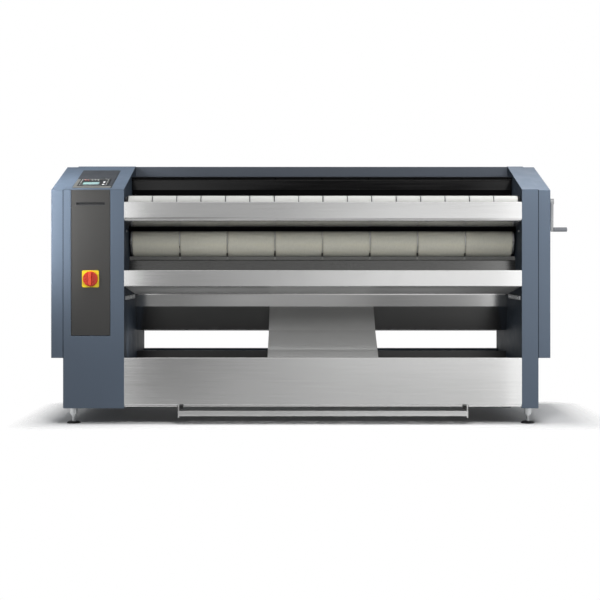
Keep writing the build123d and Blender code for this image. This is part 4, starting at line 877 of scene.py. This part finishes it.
def make_slot_cup():
    """Moulded finger cup behind the slot of the service door."""
    low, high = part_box("service_door")
    rim = [v.co for v in nodes["service_door"].data.vertices
           if v.co.y < low.y + cup_wall / 2 and low.x + cup_search < v.co.x < high.x - cup_search
           and low.z + cup_search < v.co.z < high.z - cup_search]
    x = (min(spot.x for spot in rim), max(spot.x for spot in rim))
    z = (min(spot.z for spot in rim if spot.z > (low.z + high.z) / 2), max(spot.z for spot in rim))
    centre = Vector(((x[0] + x[1]) / 2, low.y, (z[0] + z[1]) / 2))
    half_x, half_z = (x[1] - x[0]) / 2 - cup_play, (z[1] - z[0]) / 2 - cup_play
    layers = []
    for grow, y in ((0.0, cup_depth), (0.0, cup_play), (-cup_wall, cup_play),
                    (-2 * cup_wall, cup_depth - cup_wall)):
        outline = rounded_rectangle(half_x + grow, half_z + grow, 0.002)
        layers.append([centre + Vector((-across, y, up)) for across, up in outline])
    fit("slot_cup", loft(layers), cup_grey, "door")


def make_seam_shade_strips():
    """Dark rubber strips in the joints between the columns and their outer covers: painted shade in the seams."""
    for side in ("left", "right"):
        cover = side + "_outer_cover"
        low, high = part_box(cover)
        seam = high.x if side == "left" else low.x
        spots = [vertex.co for vertex in nodes[cover].data.vertices]
        brow = max(spot.z for spot in spots if spot.y < low.y + seam_strip_width)
        crest = min(spot.y for spot in spots if spot.z > high.z - seam_strip_width / 2)
        path = [(low.y, low.z), (low.y, brow), (crest, high.z), (high.y, high.z), (high.y, low.z)]
        layers = []
        for x, rise in ((-1, -1.0), (-1, 0.0), (-0.5, 1.0), (0.5, 1.0), (1, 0.0), (1, -1.0)):
            layers.append([(seam + x * seam_strip_width / 2, y + step.x * rise * seam_strip_rise,
                            z + step.y * rise * seam_strip_rise) for (y, z), step in zip(path, left_steps(path))])
        fit(side + "_seam_shade", ring_loft(layers), shade_rubber)


def lip_outline(y, top, bottom):
    """Upright rubber blade with a round bead along its lower edge, as (y, z) points."""
    half, bead = lip_thickness / 2, lip_thickness * 0.85
    outline = [(y - half, top), (y - half, bottom + 2.4 * bead)]
    for k in range(1, 12):
        angle = math.pi * (0.78 + 1.44 * k / 12)
        outline.append((y + bead * math.cos(angle), bottom + bead + bead * math.sin(angle)))
    return outline + [(y + half, bottom + 2.4 * bead), (y + half, top)]


def make_shade_lips():
    """Near-black rubber strips that stand in for shade: one under the apron's rear edge, and the guard's skirt
    over the feed belts.
    """
    low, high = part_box("upper_apron")
    outline = lip_outline(high.y - lip_inset, low.z + lip_lap, low.z - apron_lip_drop)
    # Dark strip under the apron's edge: painted shade on the belts below it.
    fit("apron_shade_lip", bar(outline, low.x + lip_end, high.x - lip_end), shade_rubber)
    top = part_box("finger_guard")[0].z + lip_lap
    board = [vertex.co for vertex in nodes["finger_guard"].data.vertices if vertex.co.z < top]
    back = max(spot.y for spot in board)
    outline = lip_outline(back + lip_thickness / 2, top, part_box("feed_belts")[1].z + skirt_gap)
    left, right = min(spot.x for spot in board), max(spot.x for spot in board)
    # Dark skirt under the guard: painted shade in the gap over the feed belts.
    fit("guard_shade_skirt", bar(outline, left, right), shade_rubber, "guard")


def make_slide_lip():
    """Upright strip that carries the slide on to the belts, standing on the fingers' feet."""
    low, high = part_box("exit_slide")
    foot = Vector((low.y + slide_lip_back, high.z + slide_lip_thickness * 1.1))
    head = foot + Vector((-slide_lip_lean, slide_lip_rise - slide_lip_thickness * 1.1))
    half = slide_lip_thickness / 2
    outline = [(foot.x + half, foot.y), (foot.x - half, foot.y)]
    for k in range(7):
        angle = math.pi * (1 - k / 6)
        outline.append((head.x + half * math.cos(angle), head.y - half + half * math.sin(angle)))
    fit("slide_lip", bar(outline, low.x + lip_end, high.x - lip_end), slide_lip_paint)


# ---- stage, light and camera ----
floor_radius = 5.0
floor_fade = 0.22                # how far from the object the floor turns into white
floor_grey = (0.88, 0.88, 0.88)
floor_bounce = (0.22, 0.22, 0.22)    # as the object's lighting sees it
floor_glow = 0.02
dark_screen = (-4.0, 0.3, 3.0, 1.5, 6.0)   # left, right, back, bottom and top
dark_level = 0.08
world_tint = (0.93, 0.96, 1.0, 1.0)
world_strength = 0.17
# Name, position, target, size, power in watts and spread in degrees.
lamps = (("Key", (0.35, -3.2, 2.4), (0.08, -0.4, 0.9), (1.4, 1.4), 29.0, 100),
         ("Right", (1.75, -1.05, 0.95), (1.5, -0.5, 0.9), (0.2, 1.2), 1.6, 80),
         ("Right slope", (1.42, -0.75, 1.75), (1.10, -0.36, 1.26), (0.2, 0.2), 1.1, 80),
         ("Left", (-1.70, -0.88, 1.20), (-1.42, -0.5, 1.15), (0.15, 0.85), 3.0, 70),
         ("Left slope", (-1.62, -0.70, 1.70), (-1.36, -0.36, 1.26), (0.2, 0.2), 0.9, 70),
         ("Bay", (camera_x, -0.40, 0.36), (camera_x, 0.0, 0.70), (1.9, 0.10), 2.5, 150),
         ("Top", (0.0, -1.2, 8.0), (0.0, -0.6, 0.0), (4.0, 3.0), 335.0, 180))
# Rows of the reflecting sweep: distance in front of the machine, height, and which of a column's tones.
sweep_rows = ((0.15, 0.01, 0), (0.75, 0.01, 0), (0.92, 0.01, 1), (1.35, 0.01, 1), (1.6, 0.01, 2),
              (2.5, 0.01, 2), (2.5, 0.32, 2), (2.5, 0.5, 3), (2.5, 1.26, 3), (2.5, 1.31, 4),
              (2.5, 1.5, 4), (2.5, 1.58, 3), (2.5, 2.0, 3), (2.5, 2.2, 5), (2.5, 5.0, 5))
# Its columns: place on the upright front from the camera's own, then the tones on the near floor, on the
# floor, low down, at panel height, at guard height and above.
sweep_columns = ((-1.7, 1.0, 1.0, 1.0, 1.1, 1.0, 2.2), (-1.25, 0.8, 0.8, 0.6, 1.25, 0.6, 1.6),
                 (-1.12, 0.55, 0.4, 0.2, 1.25, 0.4, 0.6), (-0.875, 0.45, 0.3, 0.18, 1.25, 0.5, 0.1),
                 (-0.83, 0.4, 0.3, 0.17, 0.64, 0.75, 0.6), (-0.78, 0.38, 0.32, 0.15, 0.37, 0.95, 0.6),
                 (-0.6, 0.36, 0.42, 0.15, 0.31, 0.8, 0.6), (-0.32, 0.38, 0.58, 0.27, 0.43, 0.36, 0.6),
                 (-0.1, 0.38, 0.5, 0.38, 0.56, 0.03, 0.6), (0.2, 0.42, 0.46, 0.5, 0.78, 0.0, 0.6),
                 (0.5, 0.46, 0.24, 0.6, 0.98, 0.0, 0.65), (0.9, 0.5, 0.36, 0.7, 1.06, 0.05, 0.7),
                 (1.04, 0.55, 0.5, 0.8, 1.0, 0.55, 0.9), (1.08, 0.8, 0.8, 1.05, 1.25, 0.6, 1.5),
                 (1.3, 1.0, 1.0, 1.1, 1.3, 0.6, 2.2), (1.7, 1.0, 1.0, 1.0, 1.1, 1.0, 2.2))


def seen_directly(tree):
    """1 for rays from the eye, off metal and gloss, and through glass."""
    ray = tree.nodes.new("ShaderNodeLightPath").outputs
    seen = ray["Is Camera Ray"]
    for name in ("Is Glossy Ray", "Is Transmission Ray"):
        either = put(tree.nodes.new("ShaderNodeMath"), operation="MAXIMUM")
        seen = feed(either, {0: seen, 1: ray[name]}).outputs["Value"]
    return seen


def mix_shaders(tree, factor, first, second, output):
    """Ends a node tree in the first shader where the factor is 0 and in the second where it is 1."""
    inputs = {0: factor, 1: first.outputs[0], 2: second.outputs[0]}
    mixer = feed(tree.nodes.new("ShaderNodeMixShader"), inputs)
    feed(tree.nodes[output], {"Surface": mixer.outputs["Shader"]})


def make_floor():
    """Round pale floor that fades into the white surroundings, and keeps the shadow."""
    look = Look("Studio_floor", 0.85)
    bounced = look.add("ShaderNodeLightPath").outputs["Is Diffuse Ray"]
    look.set({"Specular IOR Level": 0.0, "Emission Color": (1.0, 1.0, 1.0, 1.0),
              "Emission Strength": look.maths("MULTIPLY", seen_directly(look.tree), floor_glow),
              "Base Color": look.mix(bounced, floor_grey, floor_bounce)})
    spot = look.place
    for operation, second in (("ABSOLUTE", None), ("SUBTRACT", (cad_high[0], cad_high[1], 1.0)),
                              ("MAXIMUM", (0.0, 0.0, 0.0))):
        inputs = {0: spot, 1: second} if second else {0: spot}
        spot = look.add("ShaderNodeVectorMath", inputs, operation=operation).outputs["Vector"]
    beyond = look.add("ShaderNodeVectorMath", {0: spot}, operation="LENGTH").outputs["Value"]
    fade = look.range(beyond, 0.0, floor_fade)
    mix_shaders(look.tree, fade, look.shader, look.add("ShaderNodeBsdfTransparent"), "Material Output")
    points, faces, around = [(0.0, 0.0, 0.0)], [], 64
    for ring in range(1, 6):
        radius = floor_radius * ring / 5
        points += [(radius * x, radius * y, 0.0) for x, y in circle(around)]
    for k in range(around):
        after = (k + 1) % around
        faces.append((0, 1 + k, 1 + after))
        for inner in range(1, 1 + 4 * around, around):
            outer = inner + around
            faces.append((inner + k, outer + k, outer + after, inner + after))
    add_mesh("studio_floor", points, faces, look.material)


def reflecting_sheet(name, points, faces, levels):
    """A sheet that only metal and gloss show, as bright at each point as its level."""
    look = Look(name, 1.0)
    look.set({"Base Color": (0.0, 0.0, 0.0, 1.0), "Specular IOR Level": 0.0,
              "Emission Color": (1.0, 1.0, 1.0, 1.0), "Emission Strength": look.attribute("level")})
    sheet = add_mesh(name, points, faces, look.material, smooth=False)
    sheet.data.attributes.new("level", "FLOAT", "POINT").data.foreach_set("value", levels)
    put(sheet, visible_camera=False, visible_diffuse=False, visible_shadow=False, visible_transmission=False)


def make_reflectors():
    """Grey sweep in front of the machine, shaded across, and a dark screen behind its left side."""
    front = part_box("lower_front_panel")[0].y
    points, levels, faces = [], [], []
    for across, *tones in sweep_columns:
        for distance, z, row in sweep_rows:
            points.append((camera_x + across * (1 + distance / camera_distance), front - distance, z))
            levels.append(tones[row])
    rows = len(sweep_rows)
    for column in range(len(sweep_columns) - 1):
        for row in range(rows - 1):
            corner = column * rows + row
            faces.append((corner, corner + rows, corner + rows + 1, corner + 1))
    reflecting_sheet("reflector_sweep", points, faces, levels)
    left, right, back, bottom, top = dark_screen
    corners = [(left, back, bottom), (right, back, bottom), (right, back, top), (left, back, top)]
    reflecting_sheet("dark_screen", corners, [(0, 1, 2, 3)], [dark_level] * 4)


def make_world():
    """White surroundings for the eye and for reflections, softer for the light that they give."""
    world = bpy.data.worlds.new("Studio")
    bpy.context.scene.world = world
    world.use_nodes = True
    tree = world.node_tree
    plain = feed(tree.nodes["Background"], {"Color": world_tint, "Strength": world_strength})
    white = feed(tree.nodes.new("ShaderNodeBackground"), {"Color": (1.0, 1.0, 1.0, 1.0), "Strength": 1.0})
    mix_shaders(tree, seen_directly(tree), plain, white, "World Output")


def make_lamp(name, position, target, size, power, spread):
    lamp = put(bpy.data.lights.new(name, "AREA"), shape="RECTANGLE", size=size[0], size_y=size[1],
               energy=power, spread=math.radians(spread))
    turn = (Vector(target) - Vector(position)).to_track_quat("-Z", "Y").to_euler()
    add_object(name, lamp, location=position, rotation_euler=turn, visible_camera=False, visible_glossy=False)


def make_camera():
    lens = put(bpy.data.cameras.new("Camera"), lens=focal_length, sensor_width=sensor_width,
               shift_x=shift_x, shift_y=shift_y)
    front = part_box("lower_front_panel")[0].y
    place = (camera_x, front - camera_distance, camera_z)
    camera = add_object("Camera", lens, location=place, rotation_euler=(math.pi / 2, 0.0, 0.0))
    bpy.context.scene.camera = camera


dress_nodes()
ease_edges(["left_column_shell", "right_column_shell", "left_outer_cover", "right_outer_cover"], housing_ease)
ease_edges(["service_door", "control_plate", "keypad_bezel", "top_beam", "switch_plate"], plate_ease)
make_ironing_belts()
make_feed_belts()
make_drive_belt()
make_screws()
make_threads()
make_keypad_trim()
make_key_dots()
make_slot_cup()
make_seam_shade_strips()
make_shade_lips()
make_slide_lip()
make_floor()
make_reflectors()
make_world()
for lamp in lamps:
    make_lamp(*lamp)
make_camera()
bpy.context.scene.view_settings.view_transform = "Standard"
